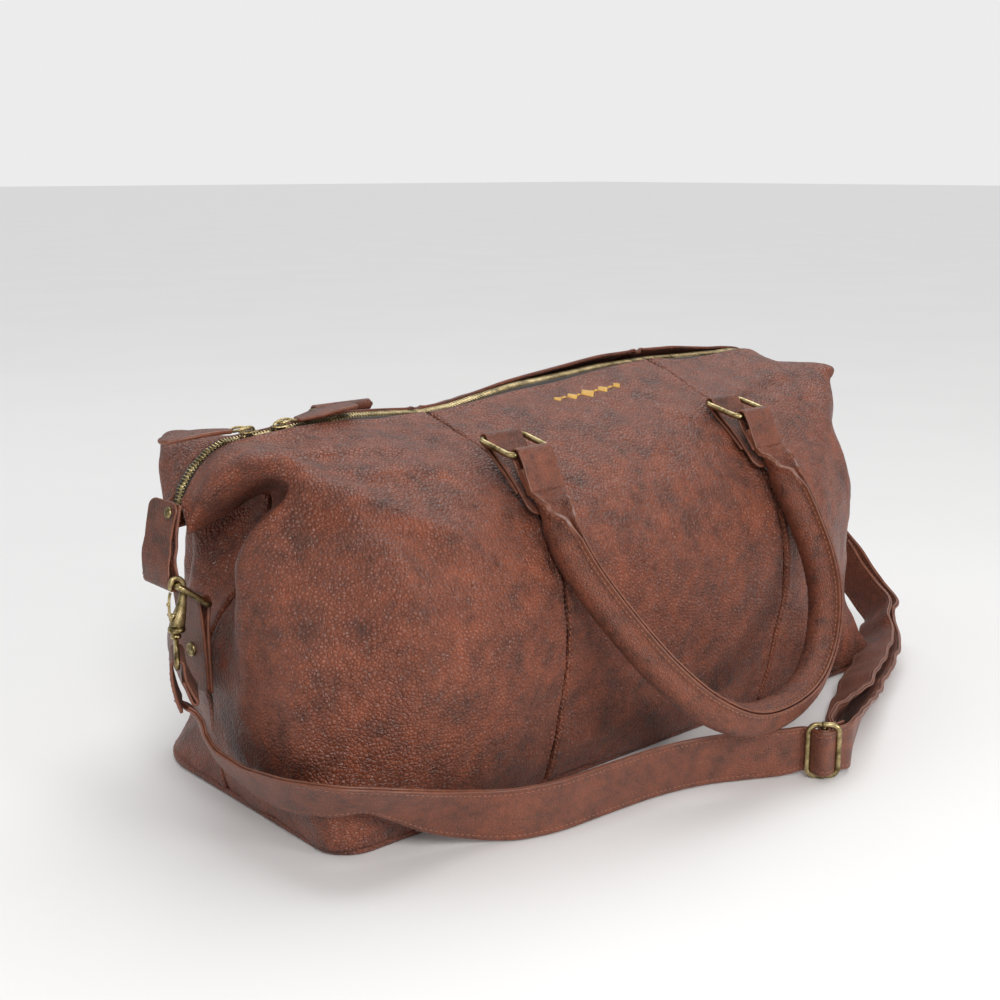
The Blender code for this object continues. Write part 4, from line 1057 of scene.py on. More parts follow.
def zip_course(step):
    xs = np.concatenate([[p[0] for p in ZIP_ENDS[-1][:-1]], np.linspace(*ZIP_RUN, 60),
                         [p[0] for p in ZIP_ENDS[1][1:]]])
    line = resample(np.array([(x, 0.0, zip_z(x)) for x in xs]), step)
    return line[(line[:, 0] > -ZIP_HALF) & (line[:, 0] < ZIP_HALF)]


ZIP_TILT = 0.26                 # the back of the zip stands a little higher than its front
# The tape from the teeth outwards: distance from the middle, and depth under the zip line.
TAPE_ROWS = ((0.0012, 0.0028), (0.0030, 0.0027), (0.0052, 0.0031), (0.0078, 0.0052), (0.0098, 0.0085))
TOOTH_PITCH = 0.0011
SLIDER_X = {"left": -0.245, "right": -0.222}


def build_zip():
    line = zip_course(TOOTH_PITCH)
    along = tangents(line)
    up = unit(np.cross(along, np.array((0.0, 1.0, 0.0))))
    up = up * np.sign(up[:, 2:3] + 1e-9)
    mid = line - up * 0.0016
    build = Build()
    for k in range(len(line)):
        sign = 1 if k % 2 else -1
        across = unit(np.array((0.0, 1.0, 0.0)) + up[k] * ZIP_TILT) * sign
        root = mid[k] + across * 0.0030
        tip = mid[k] - across * 0.0006
        half = along[k] * 0.00042
        lift = up[k] * 0.00085
        rings = []
        for place, size in ((root, 1.0), (root * 0.45 + tip * 0.55, 0.95), (tip, 1.15),
                            (tip - across * 0.0006, 0.6)):
            rings.append([place + half * size + lift * size, place - half * size + lift * size,
                          place - half * size - lift * size, place + half * size - lift * size])
        build.loft(rings)
    teeth = outward_normals(build.make("zip_teeth", [TEETH], smooth=False))
    put(teeth, "bag", ["zip_chain"])
    for side, word in FACES:
        rows = []
        for inner, drop in TAPE_ROWS:
            rows.append(line - up * (drop - 0.0006 - side * inner * ZIP_TILT) + np.array((0, side * inner, 0)))
        made = grid_piece("zip_tape_cloth_" + word, np.array(rows), [TAPE])
        thick = made.modifiers.new("thickness", "SOLIDIFY")
        thick.thickness = 0.0006
        thick.offset = 0.0
        put(made, "bag", ["zip_tape_" + word])


def slider_piece(word):
    node = word + "_zip_slider"
    low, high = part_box(node)
    centre = np.array((low + high) / 2)
    along = unit((1, 0, ZIP_SLOPE))
    up = unit((-ZIP_SLOPE, 0, 1))
    across = np.array((0, 1.0, 0))
    build = Build()
    for level, thick in ((0.0010, 0.0010), (-0.0056, 0.0009)):
        outline = [(-0.0056, 0.0022), (-0.0046, 0.0036), (0.0, 0.0044), (0.0040, 0.0049), (0.0056, 0.0044),
                   (0.0058, 0.0012), (0.0044, 0.0), (0.0058, -0.0012), (0.0056, -0.0044), (0.0040, -0.0049),
                   (0.0, -0.0044), (-0.0046, -0.0036), (-0.0056, -0.0022)]
        outline = resample(np.array([(u, v, 0.0) for u, v in outline + outline[:1]]), 0.0007)[:-1]
        rings = []
        for inset, z in ((0.9, -0.5), (1.0, -0.3), (1.0, 0.3), (0.9, 0.5), (0.6, 0.62)):
            rings.append(centre + outline[:, :1] * inset * along + outline[:, 1:2] * inset * across
                         + up * (level + z * thick))
        build.loft(rings)
    post = [centre + up * -0.0060, centre + up * 0.0010]
    tube(build, np.array(post) - along * 0.0030, 0.0009, 8)
    arch = [centre + along * u + up * v for u, v in
            ((-0.0042, 0.0008), (-0.0040, 0.0026), (-0.0022, 0.0038), (0.0, 0.0041), (0.0022, 0.0038),
             (0.0040, 0.0026), (0.0042, 0.0008))]
    tube(build, smooth_line(arch, 0.0006), 0.00075, 10, flat=1.5, up=np.array((0, 1.0, 0)))
    brass(build, word + "_slider_brass", word + "_slider", node)


def build_pull(word, end):
    x = SLIDER_X[word]
    along = unit((1, 0, ZIP_SLOPE)) * end
    pivot = np.array((x, 0, ZIP_MID_Z + ZIP_SLOPE * x - 0.0005 + 0.0046))
    up = unit((-ZIP_SLOPE, 0, 1))
    across = np.array((0, 1.0, 0))
    link = ring_line(pivot + along * 0.0055, along, across, 0.0125, 0.0075, 0.0030)
    arch = 0.0011 * np.cos((link - pivot - along * 0.0055) @ along / 0.00625 * math.pi / 2)
    build = Build()
    tube(build, link + up * arch[:, None], 0.00085, 12, True, up=up)
    brass(build, word + "_pull_ring", word + "_pull", word + "_pull_link")
    length = 0.047 if end < 0 else 0.044
    path = []
    for s in np.linspace(0, 1, 30):
        if end < 0:
            lift = 0.0004 + 0.0020 * math.sin(math.pi * s * 0.9)
        else:
            lift = 0.0004 + 0.0030 * math.sin(math.pi * 0.55 * s) ** 1.3
        path.append(pivot + along * (0.0118 + (length + 0.002) * s) + up * lift)
    run = np.linspace(0, 1, len(path))
    if end < 0:
        half = np.interp(run, (0, 0.12, 0.30, 0.55, 0.80, 1.0), (0.0036, 0.0048, 0.0070, 0.0085, 0.0078, 0.0052))
        tip = 0.0050
    else:
        half = np.interp(run, (0, 0.10, 0.24, 0.34, 1.0), (0.0038, 0.0048, 0.0066, 0.0080, 0.0082))
        tip = 0.0060
    strip = Strip(path, across * -end, half, 0.0026, 0.0025, tip, lambda d: 0.5 * border(d + 0.0004))
    build = Build()
    strip.build(build, step=0.0010)
    strip.seam(build, 0.0023, start=0.010, closed_start=(end > 0), length=0.0020, gap=0.0008, radius=0.0003)
    sewn(build, word + "_stitched_pull", TRIM_LOOKS, word + "_pull", "tab_leather", word + "_leather_pull")


build_base()
build_lining()
build_zip()
for end, word in ENDS:
    slider_piece(word)
    build_pull(word, end)


# ---- handle tabs, rings, handles ----------------------------------------------------------------
TAB_HALF_W = 0.0148
TAB_THICKNESS = 0.0018


def build_tabs():
    for side, face in FACES:
        for end, word in ENDS:
            x = end * SEAM_X
            y0, z0 = RING_INNER
            turn = arc((y0, z0), LOOP_R - 0.0004, -8, 250, 14)
            outer = [(0.1262, 0.1842), (0.1195, 0.1920), (0.1120, 0.2000), (0.1020, 0.2092), (0.0915, 0.2180)]
            inner = [(0.0880, 0.2160), (0.1010, 0.2058), (0.1120, 0.1960)]
            route = outer + [(0.0868, 0.2232)] + turn[1:] + inner
            path = smooth_line([(x, side * y, z) for y, z in route], 0.0009)
            strip = Strip(path, (-side, 0, 0), TAB_HALF_W, TAB_THICKNESS, 0.0085)
            build = Build()
            strip.build(build, step=0.0011)
            strip.seam(build, 0.0027, start=0.0030, end=0.052, closed_start=True)
            sewn(build, face + "_tab_" + word, TRIM_LOOKS, "bag", "tab_leather", face + "_handle_tab_" + word)


def build_rings():
    for side, face in FACES:
        for end, word in ENDS:
            inner = np.array((end * SEAM_X, side * RING_INNER[0], RING_INNER[1]))
            outer = np.array((end * SEAM_X, side * RING_OUTER[0], RING_OUTER[1]))
            wire_ring(face + "_brass_ring_" + word, face + "_ring_pair", face + "_ring_" + word, inner, outer,
                      (1, 0, 0), RING_W, 0.0040)


def handle_point(side, x, down, out=0.0):
    y0, z0 = RING_OUTER
    normal = np.array((0, side * math.cos(HANDLE_TILT), math.sin(HANDLE_TILT)))
    base = np.array((x, side * (y0 + down * math.sin(HANDLE_TILT)), z0 - down * math.cos(HANDLE_TILT)))
    return base + normal * out


PAINTED_EDGES = [0, *range(9, 14), *range(25, 29)]      # points of the outline on the leather's cut edges


# Half outlines of the handle in millimetres, across and out, from flat at the ring to shut round the rope:
# the front from its left edge to the middle, and the back from its right edge to the middle.
HANDLE_HALVES = (
    ([(-14.2, 2.0), (-13.4, 2.5), (-11, 2.4), (-8, 2.2), (-4, 2.1), (0, 2.0)],
     [(14.6, 0.9), (14.0, 0.1), (14.6, -0.7), (14.2, -2.0), (13.2, -2.4), (11, -2.5), (8, -2.5), (4.5, -2.5),
      (1.5, -2.5)]),
    ([(-9.0, 9.0), (-8.0, 8.7), (-6.9, 7.2), (-5.4, 4.8), (-3.0, 2.4), (0, 1.2)],
     [(9.8, 9.2), (9.9, 8.4), (10.9, 8.2), (11.6, 7.0), (11.6, 4.4), (10.8, 1.0), (9.0, -2.6), (5.8, -5.6),
      (2.0, -7.0)]),
    ([(-2.6, 14.6), (-2.0, 14.2), (-1.5, 12.8), (-1.2, 11.2), (-0.9, 9.6), (0, 8.6)],
     [(3.4, 14.8), (3.6, 14.0), (4.3, 14.0), (4.9, 12.8), (5.6, 9.8), (8.6, 5.6), (10.2, 0.4), (8.2, -6.0),
      (3.2, -9.6)]),
    ([(-0.8, 16.6), (-0.5, 16.2), (-0.28, 15.2), (-0.22, 14.2), (-0.18, 13.0), (0, 12.2)],
     [(1.5, 16.6), (1.75, 16.0), (1.8, 15.0), (2.2, 12.8), (3.9, 10.3), (8.3, 7.2), (11.0, 0.6), (9.2, -6.2),
      (3.6, -10.5)]))


def section_shapes():
    """Matched outlines of the handle in metres. Front points first, then the back."""
    def mirrored(points):
        return [(-x, y) for x, y in reversed(points)]

    return [np.array(front + mirrored(front[:-1]) + back + mirrored(back)) * 0.001
            for front, back in HANDLE_HALVES]


def build_handles():
    shapes = section_shapes()
    for side, face in FACES:
        plan = [(-SEAM_X, 0.010), (-SEAM_X, 0.022), (-SEAM_X - 0.0004, 0.036)] + HANDLE_ROUTE
        plan += [(SEAM_X + 0.003, 0.036), (SEAM_X + 0.001, 0.022), (SEAM_X, 0.010)]
        line2 = smooth_line([(x, d, 0.0) for x, d in plan], 0.0016)
        run = run_of(line2)
        total = run[-1]
        line = np.array([handle_point(side, x, d) for x, d, _ in line2])
        out = np.array((0, side * math.cos(HANDLE_TILT), math.sin(HANDLE_TILT)))
        along = tangents(line)
        across = unit(np.cross(along, out))
        rings = []
        for i, s in enumerate(run):
            d = min(s, total - s)
            mixed = blend_shapes(shapes, d)
            crumple = 0.0
            if d < 0.050:
                a = mixed[:, 0] / 0.014
                crumple = (0.00055 * np.sin(s * 900 + 3 * a) * np.exp(-((d - 0.022) / 0.014) ** 2)
                           + 0.0004 * np.sin(s * 1500 - 5 * a + side) * np.exp(-((d - 0.012) / 0.010) ** 2))
            bent = 0.0
            if 0.06 < d:
                inner = np.clip(-mixed[:, 0] / 0.011, 0, 1)
                bent = 0.00035 * np.sin(s * 950 + 2 * np.sin(s * 210)) * inner * (mixed[:, 1] < 0.010)
            crumple, bent = (np.reshape(v * np.ones(len(mixed)), (-1, 1)) for v in (crumple, bent))
            rings.append(line[i] + across[i] * mixed[:, :1]
                         + out * (mixed[:, 1:] + crumple * (mixed[:, 1:] > -0.002)) - across[i] * bent)
        rings = np.array(rings)
        build = Build()
        index = build.net(rings)
        looks = np.zeros(index.shape, int)
        looks[:, PAINTED_EDGES] = 1
        build.quads(index, looks, wrap_v=True)
        build.caps(index)
        for sign in (-1, 1):
            rows = np.where((run > 0.052) & (run < total - 0.052))[0]
            pts, nrm = [], []
            for i in rows:
                pts.append(line[i] + across[i] * sign * 0.00225 + out * 0.0139)
                nrm.append(across[i] * sign + out * 0.25)
            stitches(build, pts, unit(nrm), look=2, length=0.0026)
            for lower, upper in ((0.014, 0.052), (total - 0.052, total - 0.014)):
                pts, nrm = [], []
                for i in np.where((run > lower) & (run < upper))[0]:
                    ring = rings[i]
                    a, b = (ring[14], ring[15]) if sign > 0 else (ring[26], ring[25])
                    pts.append((a + b) / 2)
                    nrm.append(unit((a + b) / 2 - ring.mean(axis=0)))
                if len(pts) > 5:
                    stitches(build, pts, unit(np.array(nrm)), look=2, length=0.0026)
        made = outward_normals(build.make(face + "_handle_roll", [HANDLE, EDGE, THREAD]))
        put(made, face + "_handle", [face + "_handle_cover"])
        for end, word in ENDS:
            x = end * SEAM_X
            loop = [handle_point(side, x, 0.026, 0.0018), handle_point(side, x, 0.016, 0.0026),
                    handle_point(side, x, 0.008, 0.0036)]
            for u, v in arc((0, 0), LOOP_R, 0, 180, 12):
                loop.append(handle_point(side, x, -v, u))
            loop += [handle_point(side, x, 0.008, -0.0036), handle_point(side, x, 0.016, -0.0024),
                     handle_point(side, x, 0.026, -0.0014)]
            strip = Strip(smooth_line(loop, 0.0009), (side, 0, 0), 0.0143, 0.0018, None, None, no_border)
            build = Build()
            strip.build(build, step=0.0010)
            sewn(build, face + "_handle_loop_" + word, [HANDLE, EDGE], face + "_handle", "handle_leather")
        route = [handle_point(side, x, d) for x, d in HANDLE_ROUTE[1:-1]]
        build = Build()
        line = smooth_line(route, 0.0022)
        turn = np.linspace(0, 2 * math.pi, 20, endpoint=False)
        lobes = 1 + 0.08 * np.cos(5 * turn)
        tube(build, line, 0.0078, shape=np.stack([np.cos(turn) * lobes, np.sin(turn) * lobes], axis=1))
        made = outward_normals(build.make(face + "_handle_rope", [CORD]))
        put(made, face + "_handle", [face + "_handle_core"])


SHAPE_STOPS = (0.014, 0.030, 0.041, 0.056)      # where each half outline stands, from the ring


def blend_shapes(shapes, d):
    """Outline of the handle at a distance from its ring, from flat to shut."""
    if d <= SHAPE_STOPS[0]:
        return shapes[0]
    for k, (near, far) in enumerate(zip(SHAPE_STOPS[:-1], SHAPE_STOPS[1:])):
        if d < far:
            t = (d - near) / (far - near)
            t = t * t * (3 - 2 * t)
            return shapes[k] * (1 - t) + shapes[k + 1] * t
    return shapes[-1]


build_tabs()
build_rings()
build_handles()


# ---- end hardware -------------------------------------------------------------------------------
LOWER_TAB_HALF_W = 0.0158


def build_end(end, word):
    upper = ([(0.3040, 0.2005), (0.3062, 0.1930), (0.3082, 0.1850), (0.3104, 0.1740), (0.3122, 0.1640)]
             + arc(END_RING_OUTER, LOOP_R, 20, -200, 14)
             + [(0.3078, 0.1660), (0.3060, 0.1740), (0.3048, 0.1850), (0.3026, 0.1990)])
    path = smooth_line([(end * x, 0, z) for x, z in upper], 0.0009)
    half_w = np.interp(path[:, 2], (0.150, 0.162, 0.178, 0.197), (0.0158, 0.0128, 0.0112, 0.0128))
    turned = np.radians(np.interp(path[:, 2], (0.152, 0.170, 0.190), (0.0, 16.0, 12.0)))
    sides = np.stack([-np.sin(turned), -end * np.cos(turned), 0 * turned], axis=1)
    strip = Strip(path, sides, half_w, TAB_THICKNESS, 0.0060)
    build = Build()
    strip.build(build, step=0.0011)
    strip.seam(build, 0.0026, start=0.0026, end=0.046, closed_start=True)
    strip.cross_row(build, 0.034, 0.0096, 22)
    sewn(build, "upper_tab_" + word, TRIM_LOOKS, "bag", "tab_leather", "upper_end_tab_" + word)
    lower = ([(0.2890, 0.0782), (0.2893, 0.0860), (0.2897, 0.0990), (0.2903, 0.1120), (0.2912, 0.1250)]
             + arc(END_RING_INNER, LOOP_R, 0, 205, 14)
             + [(0.2868, 0.1260), (0.2874, 0.1120), (0.2872, 0.0990), (0.2868, 0.0786)])
    path = smooth_line([(end * x, 0, z) for x, z in lower], 0.0009)
    strip = Strip(path, (0, end, 0), LOWER_TAB_HALF_W, 0.0020, 0.0050)
    build = Build()
    strip.build(build, step=0.0011)
    strip.seam(build, 0.0026, start=0.0026, end=0.050, closed_start=True)
    strip.cross_row(build, 0.0425, 0.0125, 24)
    sewn(build, "lower_tab_" + word, TRIM_LOOKS, "bag", "tab_leather", "lower_end_tab_" + word)
    outer = np.array((end * END_RING_OUTER[0], 0, END_RING_OUTER[1]))
    inner = np.array((end * END_RING_INNER[0], 0, END_RING_INNER[1]))
    wire_ring("brass_end_ring_" + word, "bag", "end_ring_" + word, inner, outer, (0, 1, 0), END_RING_W, 0.0022)
    rivet("rivet_cap_" + word, (end * 0.3073, -0.0095, 0.1947), (end, 0, 0.2), 0.0036, "upper_rivet_" + word,
          ((0.0, 0.0016), (0.45, 0.00155), (0.8, 0.0012), (1.0, 0.0004), (1.0, -0.0004)))
    rivet("stud_cap_" + word, (end * 0.2909, 0.0, 0.1040), (end, 0, 0), 0.0046, "lower_stud_" + word,
          ((0.0, 0.0017), (0.35, 0.0018), (0.52, 0.0012), (0.60, 0.0010), (0.70, 0.0017), (0.84, 0.0019),
           (0.96, 0.0012), (1.0, 0.0002), (1.0, -0.0004)))


def turned_piece(build, centre, axis, profile, sides=32):
    """A piece turned on a lathe: the profile is radius and distance along the axis."""
    axis = unit(axis)
    guess = np.array((0.0, 0.0, 1.0)) if abs(axis[2]) < 0.8 else np.array((1.0, 0.0, 0.0))
    u = unit(np.cross(axis, guess))
    v = np.cross(axis, u)
    turn = np.linspace(0, 2 * math.pi, sides, endpoint=False)
    rings = []
    for r, h in profile:
        rings.append(np.asarray(centre) + axis * h + (np.cos(turn)[:, None] * u + np.sin(turn)[:, None] * v)
                     * max(r, 0.00004))
    build.loft(rings)


def rivet(name, centre, axis, radius, node, profile):
    build = Build()
    turned_piece(build, centre, axis, [(r * radius, h) for r, h in profile])
    brass(build, name, "bag", node)


def near_hook(end, across, out, z):
    """A place near the hook: across the strap, out from the bag, and a height."""
    if end > 0:
        lean, drop = RIGHT_EYE_LEAN, SWIVEL_Z - z
        across, z = (across * math.cos(lean) - drop * math.sin(lean),
                     SWIVEL_Z - across * math.sin(lean) - drop * math.cos(lean))
    angle = end * EYE_TURN[end]
    across_dir = np.array((-math.sin(angle), math.cos(angle), 0))
    out_dir = np.array((math.cos(angle), math.sin(angle), 0)) * end
    return np.array((end * HOOK_X, HOOK_Y, z)) + across_dir * across + out_dir * out


def build_hook(end, word):
    build = Build()
    spine = [(0.3131, 0.1498), (0.3128, 0.1535), (0.3110, 0.1562), (0.3085, 0.1566), (0.3058, 0.1548),
             (0.3046, 0.1515), (0.3047, 0.1470), (0.3056, 0.1420), (0.3070, 0.1360), (0.3086, 0.1310),
             (0.3098, 0.1268)]
    wide = [0.0010, 0.0014, 0.0016, 0.0017, 0.0018, 0.0019, 0.0021, 0.0026, 0.0034, 0.0042, 0.0046]
    deep = [0.0012, 0.0013, 0.0013, 0.0013, 0.0013, 0.0014, 0.0015, 0.0019, 0.0024, 0.0028, 0.0030]
    data = np.array([(end * x, HOOK_Y, z, w, d) for (x, z), w, d in zip(spine, wide, deep)])
    line = smooth_line(data, 0.0007)
    path, wide, deep = line[:, :3], line[:, 3], line[:, 4]
    along = tangents(path)
    side = np.array((0.0, 1.0, 0.0))
    across = unit(np.cross(along, side))
    turn = np.linspace(0, 2 * math.pi, 20, endpoint=False)
    box_u = np.sign(np.cos(turn)) * np.abs(np.cos(turn)) ** 0.6
    box_v = np.sign(np.sin(turn)) * np.abs(np.sin(turn)) ** 0.6
    rings = (path[:, None] + across[:, None] * (box_u * wide[:, None])[..., None]
             + side * (box_v * deep[:, None])[..., None])
    build.loft(rings)
    base = np.array((end * 0.3102, HOOK_Y, 0.1262))
    turned_piece(build, base, (0, 0, -1),
                 [(0.0030, -0.0010), (0.0049, -0.0006), (0.0053, 0.0004), (0.0053, 0.0018), (0.0047, 0.0024),
                  (0.0036, 0.0026)])
    turned_piece(build, np.array((end * 0.3132, HOOK_Y, 0.1345)), (0, 1, 0),
                 [(0.0011, -0.0030), (0.0014, -0.0027), (0.0014, 0.0027), (0.0011, 0.0030)], 16)
    brass(build, word + "_hook_casting", word + "_hook", word + "_hook_body")
    build = Build()
    gate = smooth_line([(end * 0.3138, HOOK_Y, 0.1312), (end * 0.3143, HOOK_Y, 0.1345),
                        (end * 0.3144, HOOK_Y, 0.1400), (end * 0.3140, HOOK_Y, 0.1455),
                        (end * 0.3131, HOOK_Y, 0.1486)], 0.0007)
    tube(build, gate, 0.0014, up=np.array((end * 1.0, 0, 0)),
         shape=np.stack([np.cos(turn), 0.42 * np.sin(turn)], axis=1))
    turned_piece(build, np.array((end * 0.3146, HOOK_Y, 0.1415)), (end, 0, 0),
                 [(0.0013, -0.0002), (0.0013, 0.0007), (0.0009, 0.0011)], 16)
    brass(build, word + "_hook_thumb_gate", word + "_gate", word + "_hook_gate")
    build = Build()
    top = near_hook(end, 0, 0, SWIVEL_Z)
    turned_piece(build, top, (0, 0, 1),
                 [(0.0018, -0.0030), (0.0030, -0.0026), (0.0034, -0.0014), (0.0030, -0.0002), (0.0018, 0.0002),
                  (0.0015, 0.0032)], 20)
    eye = [near_hook(end, u, 0, z) for u, z in
           [(0.0, 0.1202), (0.0060, 0.1196), (0.0130, 0.1172), (0.0178, 0.1130), (0.0190, 0.1092),
            (0.0172, 0.1072), (0.0120, 0.1070), (0.0, 0.1070), (-0.0120, 0.1070), (-0.0172, 0.1072),
            (-0.0190, 0.1092), (-0.0178, 0.1130), (-0.0130, 0.1172), (-0.0060, 0.1196), (0.0, 0.1202)]]
    out = near_hook(end, 0, 1, 0) - near_hook(end, 0, 0, 0)
    tube(build, resample(np.array(eye), 0.001)[:-1], 0.0017, 12, True, up=out)
    brass(build, word + "_eye_brass", word + "_strap_end", word + "_swivel_eye")
    leg = [(-0.0010, 0.0785), (0.0010, 0.0845)] if end < 0 else [(0.0006, 0.0762), (0.0012, 0.0830)]
    loop = (leg + [(0.0026, 0.0920), (0.0036, 0.0990)]
            + arc((0, EYE_Z), 0.0037, -8, 188, 14)
            + [(-0.0046, 0.0985), (-0.0070, 0.0920), (-0.0096, 0.0865), (-0.0107, 0.0846), (-0.0103, 0.0829),
               (-0.0088, 0.0827), (-0.0076, 0.0842), (-0.0058, 0.0890), (-0.0040, 0.0945), (-0.0030, 0.0975)])
    path = smooth_line([near_hook(end, 0, o, z) for o, z in loop], 0.0008)
    across = unit(near_hook(end, 1, 0, 0) - near_hook(end, 0, 0, 0))
    strip = Strip(path, across, 0.0163, 0.0019, None, None, no_border)
    build = Build()
    strip.build(build, step=0.0010)
    strip.seam(build, 0.0030, start=0.001, end=0.030)
    sewn(build, word + "_strap_turn", STRAP_LOOKS, word + "_strap_end", "strap_leather", word + "_strap_loop")


for end, word in ENDS:
    build_end(end, word)
    build_hook(end, word)


# ---- shoulder strap and buckle ------------------------------------------------------------------
def by_buckle(along, front, rise=0.0):
    """A place near the buckle: along the strap, towards its front, and up."""
    front_dir = np.cross(BUCKLE_DIR, np.array((0.0, 0.0, 1.0)))
    return BUCKLE + BUCKLE_DIR * along + front_dir * front + np.array((0.0, 0.0, rise))


def strap_piece(name, stations, nodes, waver=0.0, seed=0.0):
    """A strap of two leathers glued back to back, with painted edges and a stitched line near each edge."""
    centres = np.array([c for c, _ in stations], float)
    edges = unit(np.array([e for _, e in stations], float))
    line = smooth_line(np.hstack([centres, edges]), 0.0020)
    path, edges = line[:, :3], unit(line[:, 3:])
    normal = unit(np.cross(tangents(path), edges))
    run = run_of(path)
    sway = waver * (np.sin(run / 0.0095 + seed) + 0.6 * np.sin(run / 0.0052 + 2 * seed))
    fade = np.clip(np.minimum(run, run[-1] - run) / 0.03, 0, 1)
    path = path + normal * (sway * fade)[:, None]
    half = np.interp(np.linalg.norm(path - BUCKLE, axis=1), (0.012, 0.030), (0.0151, STRAP_W / 2))
    lowest = path[:, 2] - np.abs(edges[:, 2]) * half - np.abs(normal[:, 2]) * 0.0017
    path[:, 2] += np.maximum(0.0, 0.0002 - lowest)
    build = Build()
    for sign in (-1, 1):
        strip = Strip(path + normal * sign * 0.00085, edges * sign, half, 0.0016, None, None,
                      lambda d: -0.00018 * np.exp(-((d - 0.0030) / 0.0007) ** 2))
        strip.build(build, step=0.0016)
        strip.seam(build, 0.0030, length=0.0025)
    made = weld(build.make(name, STRAP_LOOKS))
    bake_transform(made)
    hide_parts(*nodes)


def build_buckle():
    up = np.array((0.0, 0.0, 1.0))
    out = np.cross(BUCKLE_DIR, up)
    build = Build()
    line = ring_line(BUCKLE, BUCKLE_DIR, up, 0.0200, 0.0352, 0.0052)
    turn = np.linspace(0, 2 * math.pi, 16, endpoint=False)
    tube(build, line, 0.0019, cyclic=True, up=out, shape=np.stack([np.cos(turn), 0.8 * np.sin(turn)], axis=1))
    bar = np.linspace(-0.0174, 0.0174, 20)
    tube(build, BUCKLE + bar[:, None] * up, 0.0014, 14, up=out)
    for z in (-0.0176, 0.0176):
        turned_piece(build, BUCKLE + up * z, up * math.copysign(1, z),
                     [(0.0016, -0.0012), (0.0023, -0.0008), (0.0023, 0.0012), (0.0018, 0.0018)], 16)
    brass(build, "buckle_brass", "bag", "strap_buckle")
    path = [by_buckle(u, v, -0.0010) for u, v in ((0.0105, -0.0158), (0.0060, -0.0110), (0.0010, -0.0062))]
    for angle in np.radians(np.linspace(-105, -345, 22)):
        path.append(by_buckle(0.0033 * math.cos(angle), 0.0033 * math.sin(angle)))
    path += [by_buckle(u, v, -0.0010) for u, v in ((0.0041, -0.0036), (0.0066, -0.0082), (0.0116, -0.0137),
                                                   (0.0165, -0.0180))]
    strip = Strip(smooth_line(path, 0.0008), up, 0.0152, 0.0019, None, None, no_border)
    build = Build()
    strip.build(build, step=0.0010)
    sewn(build, "strap_buckle_turn", [STRAP, EDGE], "bag", "strap_leather", "strap_bar_wrap")


THROUGH_BUCKLE = [(by_buckle(u, v, -0.0006), (0, 0, 1)) for u, v in
                  ((-0.0165, -0.0030), (-0.0108, -0.0044), (-0.0066, -0.0012), (-0.0034, 0.0042), (0.0, 0.0060),
                   (0.0032, 0.0046), (0.0064, -0.0002), (0.0094, -0.0038))]
strap_piece("strap_long_run", STRAP_LEFT + THROUGH_BUCKLE, ["strap_single_run"])
strap_piece("strap_doubled_outer", STRAP_OUTER, ["strap_outer_layer"], 0.0006, 0.4)
strap_piece("strap_doubled_inner", STRAP_INNER, ["strap_inner_layer"], 0.0006, 1.7)
build_buckle()


# ---- gold stitched motif ------------------------------------------------------------------------
MOTIF_X = 0.020
MOTIF_DOWN = 0.026                      # below the lip
MOTIF_DIAMONDS = ((-0.030, 0.0032), (-0.0155, 0.0046), (0.0, 0.0062), (0.0155, 0.0046), (0.030, 0.0032))


def on_front(across, up):
    """A place on the front centre panel and its normal, at distances from the middle of the motif."""
    skin, normals = CENTRES["front"]
    i = (MOTIF_X + across + SEAM_X) / (2 * SEAM_X) * (skin.shape[0] - 1)
    a = int(i)
    run = lip_distance(skin[a:a + 1])[0]
    j = float(np.interp(MOTIF_DOWN - up, run[::-1], np.arange(len(run))[::-1]))
    b = int(j)
    u, v = i - a, j - b

    def take(g):
        return ((g[a, b] * (1 - v) + g[a, b + 1] * v) * (1 - u)
                + (g[a + 1, b] * (1 - v) + g[a + 1, b + 1] * v) * u)

    return take(skin), unit(take(normals))


def build_motif():
    """Five diamonds in satin stitch, joined by a running line: a plain ornament in place of the name."""
    build = Build()

    def thread_over(a, b):
        pairs = [on_front(*(np.array(a) * (1 - t) + np.array(b) * t)) for t in np.linspace(0, 1, 7)]
        mid = np.array([p for p, _ in pairs])
        nor = np.array([n for _, n in pairs])
        lift = np.array((-0.0007, 0.0001, 0.0004, 0.0005, 0.0004, 0.0001, -0.0007))
        tube(build, mid + nor * lift[:, None], 0.00030, 6, up=nor)

    for centre, size in MOTIF_DIAMONDS:
        for u in np.arange(-size * 0.95, size * 0.96, 0.00052):
            tall = (size - abs(u)) * 1.15 + 0.0005
            thread_over((centre + u, -tall), (centre + u, tall))
    for (a, size_a), (b, size_b) in zip(MOTIF_DIAMONDS[:-1], MOTIF_DIAMONDS[1:]):
        for low in (-0.0007, 0.0, 0.0007):
            thread_over((a + size_a + 0.0003, low), (b - size_b - 0.0003, low))
    put(build.make("gold_stitched_diamonds", [GOLD_THREAD]), "bag")


build_motif()


# ---- carried-over CAD nodes ---------------------------------------------------------------------
def repaint(name, look):
    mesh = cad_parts[name].data
    mesh.materials.clear()
    mesh.materials.append(look)


repaint("base_stiffener", BOARD)


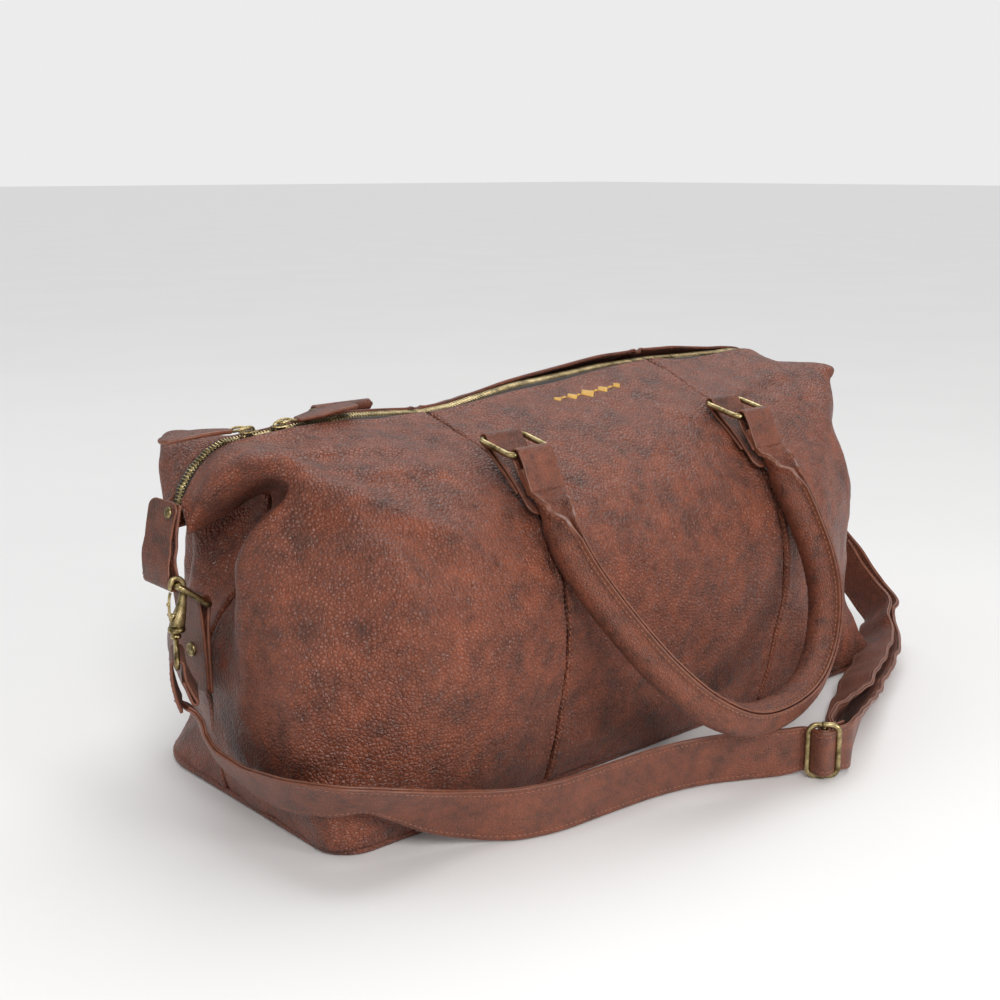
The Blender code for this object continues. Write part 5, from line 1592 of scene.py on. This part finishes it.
# ---- stage, lights, camera ----------------------------------------------------------------------
FLOOR_HALF = 30.0
FLOOR_Z = -0.0002                       # just under the base, so that the two faces don't flicker
DAYLIGHT = 0.36                         # strength of the soft light from all round
BACKDROP = (0.84, 0.84, 0.84, 1.0)
LAMPS = (("key", (-1.0, -1.5, 1.3), 0.6, 17.0, (1.0, 0.98, 0.96)),
         ("front", (0.35, -1.9, 0.60), 0.6, 13.0, (1.0, 0.98, 0.96)),
         ("back", (-1.2, 1.5, 1.2), 1.2, 4.0, (0.97, 0.98, 1.0)))
OVERHEAD = 1.65                         # strength of the wide soft light from above
LENS_MM = 51.68
SENSOR_MM = 36.0
CAMERA_PLACE = (-0.70449, -0.75671, 0.39289)
CAMERA_DOWN = 13.025                    # degrees under level
CAMERA_TURN = 41.3692                   # degrees from straight at the back wall towards the right end


def aim(name, data, place, direction, axis):
    """Puts a light in the scene, with its given axis along the direction."""
    made = bpy.data.objects.new(name, data)
    made.location = place
    made.rotation_euler = direction.to_track_quat(axis, "Y").to_euler()
    bpy.context.scene.collection.objects.link(made)


def stage():
    floor_look = Nodes("studio_floor", 0.9)
    floor_look.finish(floor_look.ramp(floor_look.noise(3.0), (0.3, (0.83, 0.83, 0.83)),
                                      (0.7, (0.85, 0.85, 0.85))))
    grid = [[(x, y, FLOOR_Z) for x in np.linspace(-FLOOR_HALF, FLOOR_HALF, 13)]
            for y in np.linspace(-FLOOR_HALF, FLOOR_HALF, 25)]
    floor = grid_piece("studio_floor", np.array(grid), [floor_look.made])
    world = bpy.data.worlds.new("studio")
    bpy.context.scene.world = world
    world.use_nodes = True
    tree = world.node_tree
    soft = tree.nodes["Background"]
    soft.inputs["Color"].default_value = (1.0, 1.0, 1.0, 1.0)
    soft.inputs["Strength"].default_value = DAYLIGHT
    seen = tree.nodes.new("ShaderNodeBackground")
    seen.inputs["Color"].default_value = BACKDROP
    seen.inputs["Strength"].default_value = 1.0
    ray = tree.nodes.new("ShaderNodeLightPath")
    either = tree.nodes.new("ShaderNodeMixShader")
    tree.links.new(ray.outputs["Is Camera Ray"], either.inputs[0])
    tree.links.new(soft.outputs[0], either.inputs[1])
    tree.links.new(seen.outputs[0], either.inputs[2])
    tree.links.new(either.outputs[0], tree.nodes["World Output"].inputs["Surface"])
    bpy.context.scene.view_settings.view_transform = "Standard"
    sun = bpy.data.lights.new("overhead", "SUN")
    sun.energy = OVERHEAD
    sun.angle = math.radians(60.0)
    aim("overhead", sun, (0, 0, 0), Vector((0.45, 0.35, 1.0)), "Z")
    for name, place, width, power, colour in LAMPS:
        lamp = bpy.data.lights.new(name, "AREA")
        lamp.size = width
        lamp.energy = power
        lamp.color = colour
        aim(name, lamp, place, Vector((0, 0, 0.12)) - Vector(place), "-Z")


def camera():
    data = bpy.data.cameras.new("camera")
    data.lens = LENS_MM
    data.sensor_width = SENSOR_MM
    made = bpy.data.objects.new("camera", data)
    made.location = CAMERA_PLACE
    made.rotation_euler = (math.radians(90 - CAMERA_DOWN), 0, math.radians(-CAMERA_TURN))
    bpy.context.scene.collection.objects.link(made)
    bpy.context.scene.camera = made


stage()
camera()
